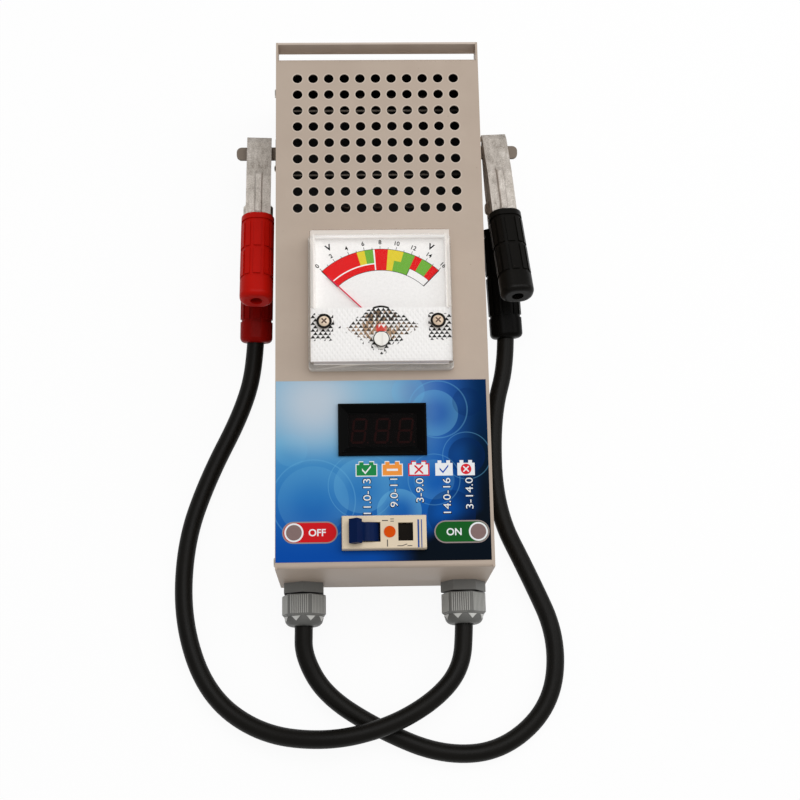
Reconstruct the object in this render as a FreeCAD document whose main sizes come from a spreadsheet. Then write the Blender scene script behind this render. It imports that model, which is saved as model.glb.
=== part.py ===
import FreeCAD, Part
import Sketcher
import math
import os

# Battery load tester lying on its back, in millimetres.
# X runs to the right of the front panel, Y towards the strap, Z out of the front panel.
# The origin is the middle of the case's back face.

DIMENSIONS = {
    # sheet-metal case
    "case_width": 117.0,
    "case_length": 297.0,
    "case_depth": 70.0,
    "gauge": 1.2,
    "bend_radius": 1.8,
    "vent_radius": 2.8,
    "vent_pitch_across": 9.0,
    "vent_pitch_along": 10.0,
    "vent_shift": -1.1,
    "vent_top_gap": 12.4,
    "strap_gap": 9.3,
    "strap_depth": 12.0,
    "cover_tab": 14.0,
    "cover_screw_inset": 8.0,
    "cover_screw_height": 42.0,
    "screw_radius": 1.7,
    # hooks that the clamps hang on
    "lug_along": 105.7,
    "lug_height": 33.0,
    "lug_reach": 83.5,
    "lug_width": 7.7,
    "lug_gauge": 2.0,
    # printed film on the front
    "film_gauge": 0.25,
    "film_left": -58.2,
    "film_right": 56.7,
    "film_top": -45.3,
    "film_bottom": -145.0,
    # moving-coil meter
    "meter_width": 79.5,
    "meter_height": 78.3,
    "meter_across": -0.4,
    "meter_along": -0.8,
    "meter_proud": 15.0,
    "meter_flange": 3.5,
    "meter_wall": 2.0,
    "meter_barrel_radius": 21.0,
    "meter_barrel_depth": 22.0,
    "needle_along": -16.5,
    "needle_reach": 41.0,
    "needle_rest": 45.2,
    "meter_screw_across": 31.0,
    "meter_screw_along": -15.8,
    "zero_along": -26.1,
    "zero_radius": 3.9,
    "stud_across": 30.0,
    "stud_along": 24.0,
    "stud_radius": 2.0,
    # digital voltmeter
    "display_along": -73.2,
    "display_width": 48.0,
    "display_height": 29.0,
    "display_proud": 2.2,
    "display_body_width": 45.0,
    "display_body_height": 26.0,
    "display_body_depth": 17.0,
    "lens_width": 37.3,
    "lens_height": 18.8,
    "funnel_depth": 2.6,
    "funnel_rim": 0.9,
    "digit_height": 14.2,
    "digit_width": 8.0,
    "digit_pitch": 12.6,
    # circuit breaker
    "breaker_along": -130.2,
    "breaker_width": 17.8,
    "breaker_length": 80.0,
    "nose_length": 45.0,
    "nose_proud": 6.0,
    "shoulder_height": 60.0,
    "rail_height": 7.5,
    "toggle_across": -9.3,
    "toggle_height": 71.5,
    "toggle_radius": 6.5,
    "toggle_reach": 12.5,
    "toggle_rest": 38.0,
    # resistive load behind the vents
    "coil_wire_radius": 1.5,
    "coil_pitch": 9.0,
    "coil_height": 48.5,
    "coil_bottom": 60.0,
    "coil_top": 134.0,
    "support_upper": 121.5,
    "support_lower": 81.2,
    "support_width": 2.0,
    # cable glands
    "gland_across": 45.0,
    "gland_height": 13.0,
    "gland_flats": 22.0,
    "gland_flange": 5.8,
    "gland_nut_length": 17.2,
    "gland_thread_radius": 9.0,
    "cable_radius": 5.1,
    # spring clamps
    "jaw_width": 14.4,
    "jaw_gauge": 1.5,
    "jaw_reach": 45.0,
    "handle_start": 6.0,
    "handle_rise": 13.5,
    "handle_angle": 11.5,
    "handle_depth": 6.5,
    "upper_handle": 53.0,
    "lower_handle": 45.0,
    "pivot_radius": 2.5,
    "sleeve_width": 19.0,
    "sleeve_height": 17.0,
    "sleeve_start": 2.7,
    "sleeve_collar": 12.0,
    "upper_sleeve": 57.0,
    "lower_sleeve": 68.0,
    "cable_end": 48.0,
}

# How each clamp hangs: its pivot across and along the case, then its turn in plan and its roll in degrees.
CLAMPS = {"red": (-70.6, 68.8, -0.7, 3.3), "black": (71.9, 70.0, 4.2, 4.2)}

# Routes of the two test cables, from inside the gland to inside the clamp's lower sleeve.
RIGHT_CABLE_ROUTE = [
    (45.0, -140.0, 13.0), (45.0, -156.0, 13.0), (45.1, -172.0, 13.0), (43.0, -196.5, 14.5),
    (28.0, -214.0, 16.0), (2.0, -228.5, 17.0), (-31.5, -236.0, 17.0), (-69.5, -231.0, 9.4),
    (-99.5, -208.5, 5.3), (-114.0, -168.0, 5.3), (-113.0, -122.5, 5.3), (-100.5, -85.0, 5.3),
    (-80.5, -44.5, 5.3), (-73.1, -15.2, 7.0), (-72.4, 15.1, 13.1),
]
LEFT_CABLE_ROUTE = [
    (-45.0, -140.0, 13.0), (-45.0, -156.0, 13.0), (-45.1, -172.0, 13.0), (-45.5, -188.5, 11.3),
    (-33.5, -210.0, 8.0), (-5.0, -228.5, 5.4), (31.0, -244.0, 5.3), (65.5, -242.0, 5.3),
    (93.5, -217.5, 5.3), (98.5, -180.0, 5.3), (83.5, -144.0, 5.3), (65.5, -105.5, 5.3),
    (65.5, -50.0, 5.3), (76.2, -14.0, 7.0), (74.4, 16.3, 13.1),
]


class Size:
    """A number that remembers the sheet formula it comes from."""

    def __init__(self, value, formula=None):
        self.value = float(value)
        self.formula = formula or f"({self.value})"

    def joined(self, sign, other, value):
        return Size(value, f"({self.formula} {sign} {other.formula})")

    def __add__(self, other):
        other = sized(other)
        return self.joined("+", other, self.value + other.value)

    def __sub__(self, other):
        other = sized(other)
        return self.joined("-", other, self.value - other.value)

    def __mul__(self, other):
        other = sized(other)
        return self.joined("*", other, self.value * other.value)

    def __truediv__(self, other):
        other = sized(other)
        return self.joined("/", other, self.value / other.value)

    def __radd__(self, other):
        return sized(other) + self

    def __rsub__(self, other):
        return sized(other) - self

    def __rmul__(self, other):
        return sized(other) * self

    def __neg__(self):
        return Size(0) - self


def sized(amount):
    return amount if isinstance(amount, Size) else Size(amount)


document = FreeCAD.newDocument("battery_tester")
sheet = document.addObject("Spreadsheet::Sheet", "dims")
for row, (alias, value) in enumerate(DIMENSIONS.items(), start=1):
    sheet.set(f"A{row}", alias)
    sheet.set(f"B{row}", str(value))
    sheet.setAlias(f"B{row}", alias)
document.recompute()


def dim(alias):
    return Size(sheet.get(alias), f"dims.{alias}")


SUB_PARTS = []


def keep(item, label):
    """Name a finished sub-part and list it for writing."""
    item.Label = label
    SUB_PARTS.append(item)
    return item


# Primitives and booleans whose sizes are bound to the sheet

TURNS = {
    "+X": FreeCAD.Rotation(FreeCAD.Vector(0, 1, 0), 90),
    "-X": FreeCAD.Rotation(FreeCAD.Vector(0, 1, 0), -90),
    "+Y": FreeCAD.Rotation(FreeCAD.Vector(1, 0, 0), -90),
    "-Y": FreeCAD.Rotation(FreeCAD.Vector(1, 0, 0), 90),
    "+Z": FreeCAD.Rotation(),
    "-Z": FreeCAD.Rotation(FreeCAD.Vector(1, 0, 0), 180),
}


def vector(point):
    return FreeCAD.Vector(*[sized(amount).value for amount in point])


def bind(item, name, amount):
    item.setExpression(name, sized(amount).formula)


def place(item, point, turn=None):
    item.Placement = FreeCAD.Placement(vector(point), turn or FreeCAD.Rotation())
    for axis, amount in zip("xyz", point):
        bind(item, f"Placement.Base.{axis}", amount)
    return item


def box(name, low, high):
    """A block between two opposite corners."""
    item = document.addObject("Part::Box", name)
    for side, start, end in zip(("Length", "Width", "Height"), low, high):
        bind(item, side, sized(end) - start)
    return place(item, low)


def rod(name, start, direction, radius, length):
    """A round bar from a point along one of the main directions."""
    item = document.addObject("Part::Cylinder", name)
    bind(item, "Radius", radius)
    bind(item, "Height", length)
    return place(item, start, TURNS[direction])


def cone(name, start, direction, radius, end_radius, length):
    item = document.addObject("Part::Cone", name)
    bind(item, "Radius1", radius)
    bind(item, "Radius2", end_radius)
    bind(item, "Height", length)
    return place(item, start, TURNS[direction])


def hexagon(name, start, direction, flats, length, spin=0.0):
    """A six-sided bar; spin turns it about its own axis, in degrees."""
    item = document.addObject("Part::Prism", name)
    item.Polygon = 6
    bind(item, "Circumradius", sized(flats) / (2 * math.cos(math.radians(30))))
    bind(item, "Height", length)
    own_turn = FreeCAD.Rotation(FreeCAD.Vector(0, 0, 1), spin)
    return place(item, start, TURNS[direction].multiply(own_turn))


def fuse(name, items):
    item = document.addObject("Part::MultiFuse", name)
    item.Shapes = items
    return item


def cut(name, base, tools):
    item = document.addObject("Part::Cut", name)
    item.Base = base
    item.Tool = tools[0] if len(tools) == 1 else fuse(f"{name}_tools", tools)
    return item


def group(name, items):
    item = document.addObject("Part::Compound", name)
    item.Links = items
    return item


def solid(name, shape):
    item = document.addObject("Part::Feature", name)
    item.Shape = shape
    return item


# Sketched bodies

def new_body(label):
    return keep(document.addObject("PartDesign::Body", label), label)


def sketch(body, name, role, offset=0):
    """A sketch on one of the body's own origin planes, moved along the plane's normal."""
    item = body.newObject("Sketcher::SketchObject", f"{body.Name}_{name}")
    plane = next(feature for feature in body.Origin.OriginFeatures if feature.Role == role)
    item.AttachmentSupport = [(plane, "")]
    item.MapMode = "FlatFace"
    bind(item, "AttachmentOffset.Base.z", offset)
    return item


def pin_point(item, geometry, corner, point):
    for kind, amount in zip(("DistanceX", "DistanceY"), point):
        rule = Sketcher.Constraint(kind, -1, 1, geometry, corner, sized(amount).value)
        number = item.addConstraint(rule)
        bind(item, f"Constraints[{number}]", amount)


def outline(item, points):
    """A closed straight-sided outline with every corner bound to the sheet."""
    first = item.GeometryCount
    count = len(points)
    for index in range(count):
        start = vector((*points[index], 0))
        end = vector((*points[(index + 1) % count], 0))
        item.addGeometry(Part.LineSegment(start, end))
    for index in range(count):
        following = first + (index + 1) % count
        item.addConstraint(Sketcher.Constraint("Coincident", first + index, 2, following, 1))
    for index, point in enumerate(points):
        pin_point(item, first + index, 1, point)
    return item


def rectangle(item, low, high):
    return outline(item, [low, (high[0], low[1]), high, (low[0], high[1])])


def circle(item, centre, radius):
    number = item.GeometryCount
    round_line = Part.Circle(vector((*centre, 0)), FreeCAD.Vector(0, 0, 1), sized(radius).value)
    item.addGeometry(round_line)
    rule = item.addConstraint(Sketcher.Constraint("Radius", number, sized(radius).value))
    bind(item, f"Constraints[{rule}]", radius)
    pin_point(item, number, 3, centre)
    return item


def pad(body, profile, length, side="Symmetric", taper=0):
    item = body.newObject("PartDesign::Pad", f"{profile.Name}_pad")
    item.Profile = profile
    item.SideType = side
    bind(item, "Length", length)
    item.TaperAngle = taper
    return item


def pocket(body, profile, length=None, side="Symmetric", reverse=False):
    """Cut a sketch out of the body, right through where no length is given."""
    item = body.newObject("PartDesign::Pocket", f"{profile.Name}_pocket")
    item.Profile = profile
    item.SideType = side
    item.Reversed = reverse
    if length is None:
        item.Type = "ThroughAll"
    else:
        bind(item, "Length", length)
    document.recompute()
    if item.Shape.Volume >= item.BaseFeature.Shape.Volume - 1e-6:
        raise RuntimeError(f"{item.Name} cuts nothing")
    return item


def round_edges(body, name, radius, wanted):
    """Round the edges of the body's last feature for which wanted is true."""
    document.recompute()
    base = body.Tip
    names = [f"Edge{index}" for index, edge in enumerate(base.Shape.Edges, start=1) if wanted(edge)]
    item = body.newObject("PartDesign::Fillet", f"{body.Name}_{name}")
    item.Base = (base, names)
    bind(item, "Radius", radius)
    return item


def runs_along(edge, axis):
    """True for a straight edge parallel to the axis number given."""
    if not isinstance(edge.Curve, Part.Line):
        return False
    return abs(abs(edge.tangentAt(edge.FirstParameter)[axis]) - 1) < 1e-6


def lies_at(edge, **places):
    middle = edge.CenterOfMass
    return all(abs(getattr(middle, axis) - sized(at).value) < 1e-4 for axis, at in places.items())


# Tubes along straight runs joined by tangent arcs

def tube_path(points, bend):
    """The wire, its length and its radii; bend is the share of the shorter run that an arc takes."""
    points = [FreeCAD.Vector(*point) for point in points]
    edges = []
    radii = []
    start = points[0]
    for before, corner, after in zip(points, points[1:], points[2:]):
        into = (corner - before).normalize()
        away = (after - corner).normalize()
        turn = into.getAngle(away)
        reach = bend * min((corner - before).Length, (after - corner).Length)
        radii.append(reach / math.tan(turn / 2))
        first = corner - into * reach
        last = corner + away * reach
        middle = corner + (away - into).normalize() * radii[-1] * (1 / math.cos(turn / 2) - 1)
        edges.append(Part.LineSegment(start, first).toShape())
        edges.append(Part.Arc(first, middle, last).toShape())
        start = last
    edges.append(Part.LineSegment(start, points[-1]).toShape())
    return Part.Wire(edges), radii


def tube(points, radius, bend=0.45):
    wire, radii = tube_path(points, bend)
    direction = FreeCAD.Vector(*points[1]) - FreeCAD.Vector(*points[0])
    ring = Part.Wire(Part.makeCircle(radius, FreeCAD.Vector(*points[0]), direction))
    shape = wire.makePipeShell([ring], True, False)
    share = shape.Volume / (math.pi * radius ** 2 * wire.Length)
    if abs(share - 1) > 0.01:
        raise RuntimeError(f"tube volume is {share:.3f} of section times length")
    return shape, wire.Length, radii


# Case

half_width = dim("case_width") / 2
half_length = dim("case_length") / 2
depth = dim("case_depth")
gauge = dim("gauge")
inner_half_width = half_width - gauge
strap_along = half_length + dim("strap_gap")
strap_bottom = depth - dim("strap_depth")
cover_screw_along = half_length - dim("cover_screw_inset")
film_face = depth + dim("film_gauge")
bend_inside = dim("bend_radius") - gauge
strap_tab_low = strap_bottom + 3
strap_tab_high = depth - 3
lug_rivet_height = dim("lug_height") - 9
LUG_RIVET_STEP = 5.5
RIVET_RADIUS = 1.6
HOLE_PLAY = 0.1


def make_front_cover():
    """Front panel with the top and bottom walls bent back from it."""
    body = new_body("front_cover")
    wall_foot = gauge + bend_inside
    section = outline(sketch(body, "section", "YZ_Plane"), [
        (-half_length, wall_foot), (-half_length, depth), (half_length, depth), (half_length, wall_foot),
        (half_length - gauge, wall_foot), (half_length - gauge, depth - gauge),
        (gauge - half_length, depth - gauge), (gauge - half_length, wall_foot),
    ])
    pad(body, section, 2 * inner_half_width)
    round_edges(body, "outer_bends", dim("bend_radius"), lambda edge: runs_along(edge, 0)
                and lies_at(edge, z=depth))
    round_edges(body, "inner_bends", bend_inside, lambda edge: runs_along(edge, 0)
                and lies_at(edge, z=depth - gauge))
    tabs = sketch(body, "tabs", "YZ_Plane")
    tab_low = dim("cover_screw_height") - 8
    tab_high = dim("cover_screw_height") + 8
    tab_out = half_length - gauge
    rectangle(tabs, (tab_out - dim("cover_tab"), tab_low), (tab_out, tab_high))
    rectangle(tabs, (-tab_out, tab_low), (dim("cover_tab") - tab_out, tab_high))
    pad(body, tabs, 2 * inner_half_width)
    pocket(body, tabs, 2 * (inner_half_width - gauge))
    screw_holes = sketch(body, "screw_holes", "YZ_Plane")
    for along in (cover_screw_along, -cover_screw_along):
        circle(screw_holes, (along, dim("cover_screw_height")), dim("screw_radius") + HOLE_PLAY)
    pocket(body, screw_holes)
    openings = sketch(body, "openings", "XY_Plane")
    across = dim("meter_across")
    circle(openings, (across, dim("needle_along") - 1), dim("meter_barrel_radius") + 0.5)
    for side in (-1, 1):
        stud = (across + side * dim("stud_across"), dim("meter_along") + dim("stud_along"))
        circle(openings, stud, dim("stud_radius") + 0.3)
    body_half = dim("display_body_width") / 2 + 0.2
    body_rise = dim("display_body_height") / 2 + 0.2
    display = dim("display_along")
    rectangle(openings, (across - body_half, display - body_rise), (across + body_half, display + body_rise))
    nose_half = dim("nose_length") / 2 + 0.2
    nose_rise = dim("breaker_width") / 2 + 0.2
    breaker = dim("breaker_along")
    rectangle(openings, (across - nose_half, breaker - nose_rise), (across + nose_half, breaker + nose_rise))
    pocket(body, openings)
    gland_holes = sketch(body, "gland_holes", "XZ_Plane", half_length)
    for side in (-1, 1):
        centre = (side * dim("gland_across"), dim("gland_height"))
        circle(gland_holes, centre, dim("gland_thread_radius") + 0.25)
    pocket(body, gland_holes, 4 * gauge)
    make_vents(body)


def make_vents(body):
    """The field of round vents near the strap, from one hole repeated both ways."""
    columns = 11
    rows = 9
    vent = sketch(body, "vent", "XY_Plane")
    left = dim("vent_shift") - dim("vent_pitch_across") * ((columns - 1) / 2)
    top = half_length - dim("vent_top_gap")
    circle(vent, (left, top - dim("vent_pitch_along") * (rows - 1)), dim("vent_radius"))
    first = pocket(body, vent)
    field = body.newObject("PartDesign::LinearPattern", f"{body.Name}_vents")
    field.Originals = [first]
    field.Direction = (vent, ["H_Axis"])
    bind(field, "Length", dim("vent_pitch_across") * (columns - 1))
    field.Occurrences = columns
    field.Direction2 = (vent, ["V_Axis"])
    bind(field, "Length2", dim("vent_pitch_along") * (rows - 1))
    field.Occurrences2 = rows
    body.Tip = field


def make_rear_shell():
    """Back and both side walls, with a notched ear on each side for the strap."""
    body = new_body("rear_shell")
    section = outline(sketch(body, "section", "XZ_Plane"), [
        (-half_width, 0), (half_width, 0), (half_width, depth), (inner_half_width, depth),
        (inner_half_width, gauge), (-inner_half_width, gauge), (-inner_half_width, depth),
        (-half_width, depth),
    ])
    pad(body, section, 2 * half_length)
    round_edges(body, "outer_bends", dim("bend_radius"), lambda edge: runs_along(edge, 1)
                and lies_at(edge, z=0))
    round_edges(body, "inner_bends", bend_inside, lambda edge: runs_along(edge, 1)
                and lies_at(edge, z=gauge))
    ears = sketch(body, "ears", "YZ_Plane")
    rectangle(ears, (half_length, strap_bottom), (strap_along + gauge, depth))
    pad(body, ears, 2 * half_width)
    pocket(body, ears, 2 * inner_half_width)
    notch = sketch(body, "strap_notch", "YZ_Plane")
    rectangle(notch, (strap_along - HOLE_PLAY, strap_tab_low - HOLE_PLAY),
              (strap_along + gauge, strap_tab_high + HOLE_PLAY))
    pocket(body, notch)
    holes = sketch(body, "fastener_holes", "YZ_Plane")
    for along in (cover_screw_along, -cover_screw_along):
        circle(holes, (along, dim("cover_screw_height")), dim("screw_radius") + HOLE_PLAY)
    for step in (-LUG_RIVET_STEP, LUG_RIVET_STEP):
        circle(holes, (dim("lug_along") + step, lug_rivet_height), RIVET_RADIUS + HOLE_PLAY)
    pocket(body, holes)


def make_top_strap():
    """Carrying strap between the ears, let into their notches with a tab at each end."""
    bar = box("strap_bar", (-inner_half_width, strap_along, strap_bottom),
              (inner_half_width, strap_along + gauge, depth))
    tabs = box("strap_tabs", (-half_width, strap_along, strap_tab_low),
               (half_width, strap_along + gauge, strap_tab_high))
    keep(fuse("top_strap", [bar, tabs]), "top_strap")


def rivet(name, side, along, height, skin, stack, head):
    """A domed rivet through a side wall; skin is where its outer head sits, stack what it holds."""
    direction = "+X" if side > 0 else "-X"
    shank = rod(f"{name}_shank", (side * (skin - stack), along, height), direction, RIVET_RADIUS, stack)
    outer = cone(f"{name}_head", (side * skin, along, height), direction, head, head * 0.6, 1.1)
    inner = rod(f"{name}_tail", (side * (skin - stack - 0.9), along, height), direction, head * 0.8, 0.9)
    return fuse(name, [shank, outer, inner])


def make_case_rivets():
    """Rivets of the two storage hooks."""
    rivets = []
    for name, side in (("left", -1), ("right", 1)):
        for index, step in enumerate((-LUG_RIVET_STEP, LUG_RIVET_STEP), start=1):
            rivets.append(rivet(f"lug_rivet_{name}_{index}", side, dim("lug_along") + step,
                                lug_rivet_height, half_width + dim("lug_gauge"),
                                gauge + dim("lug_gauge"), 2.6))
    keep(group("case_rivets", rivets), "case_rivets")


def make_cover_screws():
    """Four pan-head screws that hold the cover's tabs to the side walls."""
    screws = []
    for side, direction in ((-1, "-X"), (1, "+X")):
        for end, along in (("top", cover_screw_along), ("bottom", -cover_screw_along)):
            name = f"cover_screw_{end}_{'left' if side < 0 else 'right'}"
            height = dim("cover_screw_height")
            shank = rod(f"{name}_shank", (side * (half_width - 8), along, height), direction,
                        dim("screw_radius"), 8)
            head = cone(f"{name}_head", (side * half_width, along, height), direction, 3.4, 2.4, 2.0)
            slot = box(f"{name}_slot", (side * (half_width + 1.6) - 0.5, along - 2.6, height - 0.4),
                       (side * (half_width + 1.6) + 0.5, along + 2.6, height + 0.4))
            screws.append(cut(name, fuse(f"{name}_blank", [shank, head]), [slot]))
    keep(group("cover_screws", screws), "cover_screws")


def make_storage_lug(name, side):
    """Angle hook riveted to a side wall; a clamp bites its tongue when it is put away."""
    along = dim("lug_along")
    thick = dim("lug_gauge")
    under = dim("lug_height") - thick / 2
    over = dim("lug_height") + thick / 2
    wall = side * half_width
    skin = side * (half_width + thick)
    tip = side * dim("lug_reach")
    left, right = (skin, wall) if side < 0 else (wall, skin)
    flange = box(f"{name}_flange", (left, along - 9, under - 16), (right, along + 9, over))
    low, high = (tip, wall) if side < 0 else (wall, tip)
    tongue = box(f"{name}_tongue", (low, along - dim("lug_width") / 2, under),
                 (high, along + dim("lug_width") / 2, over))
    holes = [
        rod(f"{name}_hole_{index}", (wall, along + step, lug_rivet_height), "+X" if side > 0 else "-X",
            RIVET_RADIUS + HOLE_PLAY, thick)
        for index, step in enumerate((-LUG_RIVET_STEP, LUG_RIVET_STEP), start=1)
    ]
    blank = cut(f"{name}_blank", fuse(f"{name}_angle", [flange, tongue]), holes)
    document.recompute()
    corners = [
        (index, 3.0, 3.0) for index, edge in enumerate(blank.Shape.Edges, start=1)
        if runs_along(edge, 2) and lies_at(edge, x=tip)
    ]
    hook = document.addObject("Part::Fillet", name)
    hook.Base = blank
    hook.Edges = corners
    keep(hook, name)


def make_panel_label():
    """Printed film over the lower half of the panel, cut out for the two instruments."""
    across = dim("meter_across")
    film = box("film_blank", (dim("film_left"), dim("film_bottom"), depth),
               (dim("film_right"), dim("film_top"), film_face))
    windows = []
    for name, along, width, height in (
        ("display", dim("display_along"), dim("display_body_width"), dim("display_body_height")),
        ("breaker", dim("breaker_along"), dim("nose_length"), dim("breaker_width")),
    ):
        low = (across - width / 2 - 0.2, along - height / 2 - 0.2, depth)
        high = (across + width / 2 + 0.2, along + height / 2 + 0.2, film_face)
        windows.append(box(f"film_window_{name}", low, high))
    keep(cut("panel_label", film, windows), "panel_label")


# Moving-coil meter

meter_x = dim("meter_across")
meter_y = dim("meter_along")
meter_front = depth + dim("meter_proud")
cover_base = depth + dim("meter_flange")
cover_ceiling = meter_front - dim("meter_wall")
dial_base = cover_base + 2.5
dial_face = dial_base + 0.8
needle_base = dial_face + 1.2
barrel_y = dim("needle_along") - 1
meter_left = meter_x - dim("meter_width") / 2
meter_right = meter_x + dim("meter_width") / 2
meter_bottom = meter_y - dim("meter_height") / 2
meter_top = meter_y + dim("meter_height") / 2
screw_places = [(meter_x + side * dim("meter_screw_across"), dim("meter_screw_along")) for side in (-1, 1)]
stud_places = [(meter_x + side * dim("stud_across"), meter_y + dim("stud_along")) for side in (-1, 1)]
METER_SCREW_RADIUS = 1.5
METER_HEAD_RADIUS = 3.8
METER_SEAT = 1.6
DIAL_POST_ACROSS = 26.0
STUD_TAIL = 14.0


def make_meter_case():
    """Base flange with the barrel that passes through the panel and the posts under the dial."""
    body = new_body("meter_case")
    base = sketch(body, "base", "XY_Plane", depth)
    rectangle(base, (meter_left, meter_bottom), (meter_right, meter_top))
    pad(body, base, dim("meter_flange"), "One side")
    round_edges(body, "corners", 2, lambda edge: runs_along(edge, 2))
    barrel = sketch(body, "barrel", "XY_Plane", depth - dim("meter_barrel_depth"))
    circle(barrel, (meter_x, barrel_y), dim("meter_barrel_radius"))
    pad(body, barrel, dim("meter_barrel_depth"), "One side")
    posts = sketch(body, "posts", "XY_Plane", cover_base)
    for side in (-1, 1):
        circle(posts, (meter_x + side * DIAL_POST_ACROSS, meter_y + 8), 2.5)
    pad(body, posts, dial_base - cover_base, "One side")
    hollow = sketch(body, "hollow", "XY_Plane", cover_base)
    circle(hollow, (meter_x, barrel_y), dim("meter_barrel_radius") - 2)
    pocket(body, hollow, dim("meter_flange") + dim("meter_barrel_depth") - 2, "One side")
    screws = sketch(body, "screw_holes", "XY_Plane", cover_base)
    for spot in screw_places:
        circle(screws, spot, METER_SCREW_RADIUS + HOLE_PLAY)
    pocket(body, screws, dim("meter_flange"), "One side")
    studs = sketch(body, "stud_holes", "XY_Plane", depth)
    for spot in stud_places:
        circle(studs, spot, dim("stud_radius") + HOLE_PLAY)
    pocket(body, studs, dim("meter_flange") - 1, "One side", True)


def make_meter_cover():
    """Clear moulded cover with its two screw bosses and the hole of the zero adjuster."""
    body = new_body("meter_cover")
    draft = 4
    outside = sketch(body, "outside", "XY_Plane", cover_base)
    rectangle(outside, (meter_left, meter_bottom), (meter_right, meter_top))
    pad(body, outside, meter_front - cover_base, "One side", -draft)
    round_edges(body, "upright_corners", 2, lambda edge: not lies_at(edge, z=cover_base)
                and not lies_at(edge, z=meter_front))
    round_edges(body, "front_edge", 0.9, lambda edge: lies_at(edge, z=meter_front))
    inside = sketch(body, "inside", "XY_Plane", cover_base)
    wall = dim("meter_wall") + 0.8
    rectangle(inside, (meter_left + wall, meter_bottom + wall), (meter_right - wall, meter_top - wall))
    pocket(body, inside, cover_ceiling - cover_base, "One side", True)
    bosses = sketch(body, "bosses", "XY_Plane", cover_base)
    for spot in screw_places:
        circle(bosses, spot, METER_HEAD_RADIUS + 1.2)
    pad(body, bosses, cover_ceiling - cover_base, "One side")
    seats = sketch(body, "screw_seats", "XY_Plane", meter_front)
    for spot in screw_places:
        circle(seats, spot, METER_HEAD_RADIUS + 0.3)
    pocket(body, seats, METER_SEAT, "One side")
    holes = sketch(body, "screw_holes", "XY_Plane", meter_front)
    for spot in screw_places:
        circle(holes, spot, METER_SCREW_RADIUS + HOLE_PLAY)
    circle(holes, (meter_x, dim("zero_along")), dim("zero_radius") + 0.3)
    pocket(body, holes, None, "One side")


def make_meter_dial():
    dial = box("meter_dial", (meter_x - 36, meter_y - 9.5, dial_base),
               (meter_x + 36, meter_top - 3.5, dial_face))
    keep(dial, "meter_dial")


def make_meter_movement():
    """Magnet and coil of the movement with the half-round bridge in front of it."""
    magnet_top = cover_base + 1
    bridge_top = needle_base - 1.6
    magnet = rod("magnet", (meter_x, barrel_y, depth - dim("meter_barrel_depth") + 2), "+Z", 17,
                 magnet_top - depth + dim("meter_barrel_depth") - 2)
    bridge_disc = rod("bridge_disc", (meter_x, dim("zero_along"), magnet_top), "+Z", 19.5,
                      bridge_top - magnet_top)
    below = box("bridge_below", (meter_x - 20, dim("zero_along") - 20, magnet_top),
                (meter_x + 20, dim("zero_along") + 0.5, bridge_top))
    under_dial = box("bridge_under_dial", (meter_x - 20, meter_y - 9.8, magnet_top),
                     (meter_x + 20, meter_y + 10, bridge_top))
    bridge = cut("bridge", bridge_disc, [below, under_dial])
    keep(fuse("meter_movement", [magnet, bridge]), "meter_movement")


def make_meter_needle():
    """Pointer on its hub, resting at the left end of the scale, with a short balance tail."""
    turn = FreeCAD.Rotation(FreeCAD.Vector(0, 0, 1), dim("needle_rest").value)
    pivot = (meter_x, dim("needle_along"), needle_base)
    hub = rod("needle_hub", (meter_x, dim("needle_along"), needle_base - 1.2), "+Z", 2.4, 2.4)
    tail_length = 8
    blank = box("needle_blank", (-0.3, -tail_length, 0), (0.3, dim("needle_reach"), 0.6))
    weight = rod("needle_weight", (0, -tail_length + 1, 0), "+Z", 1.5, 0.6)
    pointer = fuse("needle_pointer", [blank, weight])
    place(pointer, pivot, turn)
    keep(fuse("meter_needle", [hub, pointer]), "meter_needle")


def make_meter_fasteners():
    """Cover screws, zero adjuster, and the studs with nuts that hold the meter to the panel."""
    screws = []
    for name, (across, along) in zip(("left", "right"), screw_places):
        head = rod(f"meter_screw_head_{name}", (across, along, meter_front - METER_SEAT), "+Z",
                   METER_HEAD_RADIUS, METER_SEAT + 0.2)
        shank = rod(f"meter_screw_shank_{name}", (across, along, depth), "+Z", METER_SCREW_RADIUS,
                    dim("meter_proud") - METER_SEAT)
        slots = [
            box(f"meter_screw_slot_{name}_{index}", (across - wide, along - tall, meter_front - 0.6),
                (across + wide, along + tall, meter_front + 0.2))
            for index, (wide, tall) in enumerate(((2.2, 0.5), (0.5, 2.2)), start=1)
        ]
        screws.append(cut(f"meter_screw_{name}", fuse(f"meter_screw_blank_{name}", [head, shank]), slots))
    keep(group("meter_cover_screws", screws), "meter_cover_screws")

    zero_y = dim("zero_along")
    disc = rod("zero_disc", (meter_x, zero_y, cover_ceiling - 0.3), "+Z", dim("zero_radius"),
               dim("meter_wall") + 1.1)
    collar = rod("zero_collar", (meter_x, zero_y, cover_ceiling - 0.9), "+Z", 5.2, 0.6)
    slot = box("zero_slot", (meter_x - 0.6, zero_y - dim("zero_radius"), meter_front + 0.1),
               (meter_x + 0.6, zero_y + dim("zero_radius"), meter_front + 0.8))
    keep(cut("zero_adjust_screw", fuse("zero_blank", [disc, collar]), [slot]), "zero_adjust_screw")

    studs = []
    nuts = []
    for name, (across, along) in zip(("left", "right"), stud_places):
        stud_end = depth - STUD_TAIL
        studs.append(rod(f"meter_stud_{name}", (across, along, stud_end), "+Z", dim("stud_radius"),
                         depth + dim("meter_flange") - 1 - stud_end))
        nut = hexagon(f"stud_nut_{name}", (across, along, depth - gauge - 3.2), "+Z", 7, 3.2)
        bore = rod(f"stud_nut_bore_{name}", (across, along, depth - gauge - 3.2), "+Z",
                   dim("stud_radius") + HOLE_PLAY, 3.2)
        nuts.append(cut(f"stud_nut_cut_{name}", nut, [bore]))
    keep(group("meter_studs", studs), "meter_studs")
    keep(group("meter_stud_nuts", nuts), "meter_stud_nuts")


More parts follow.
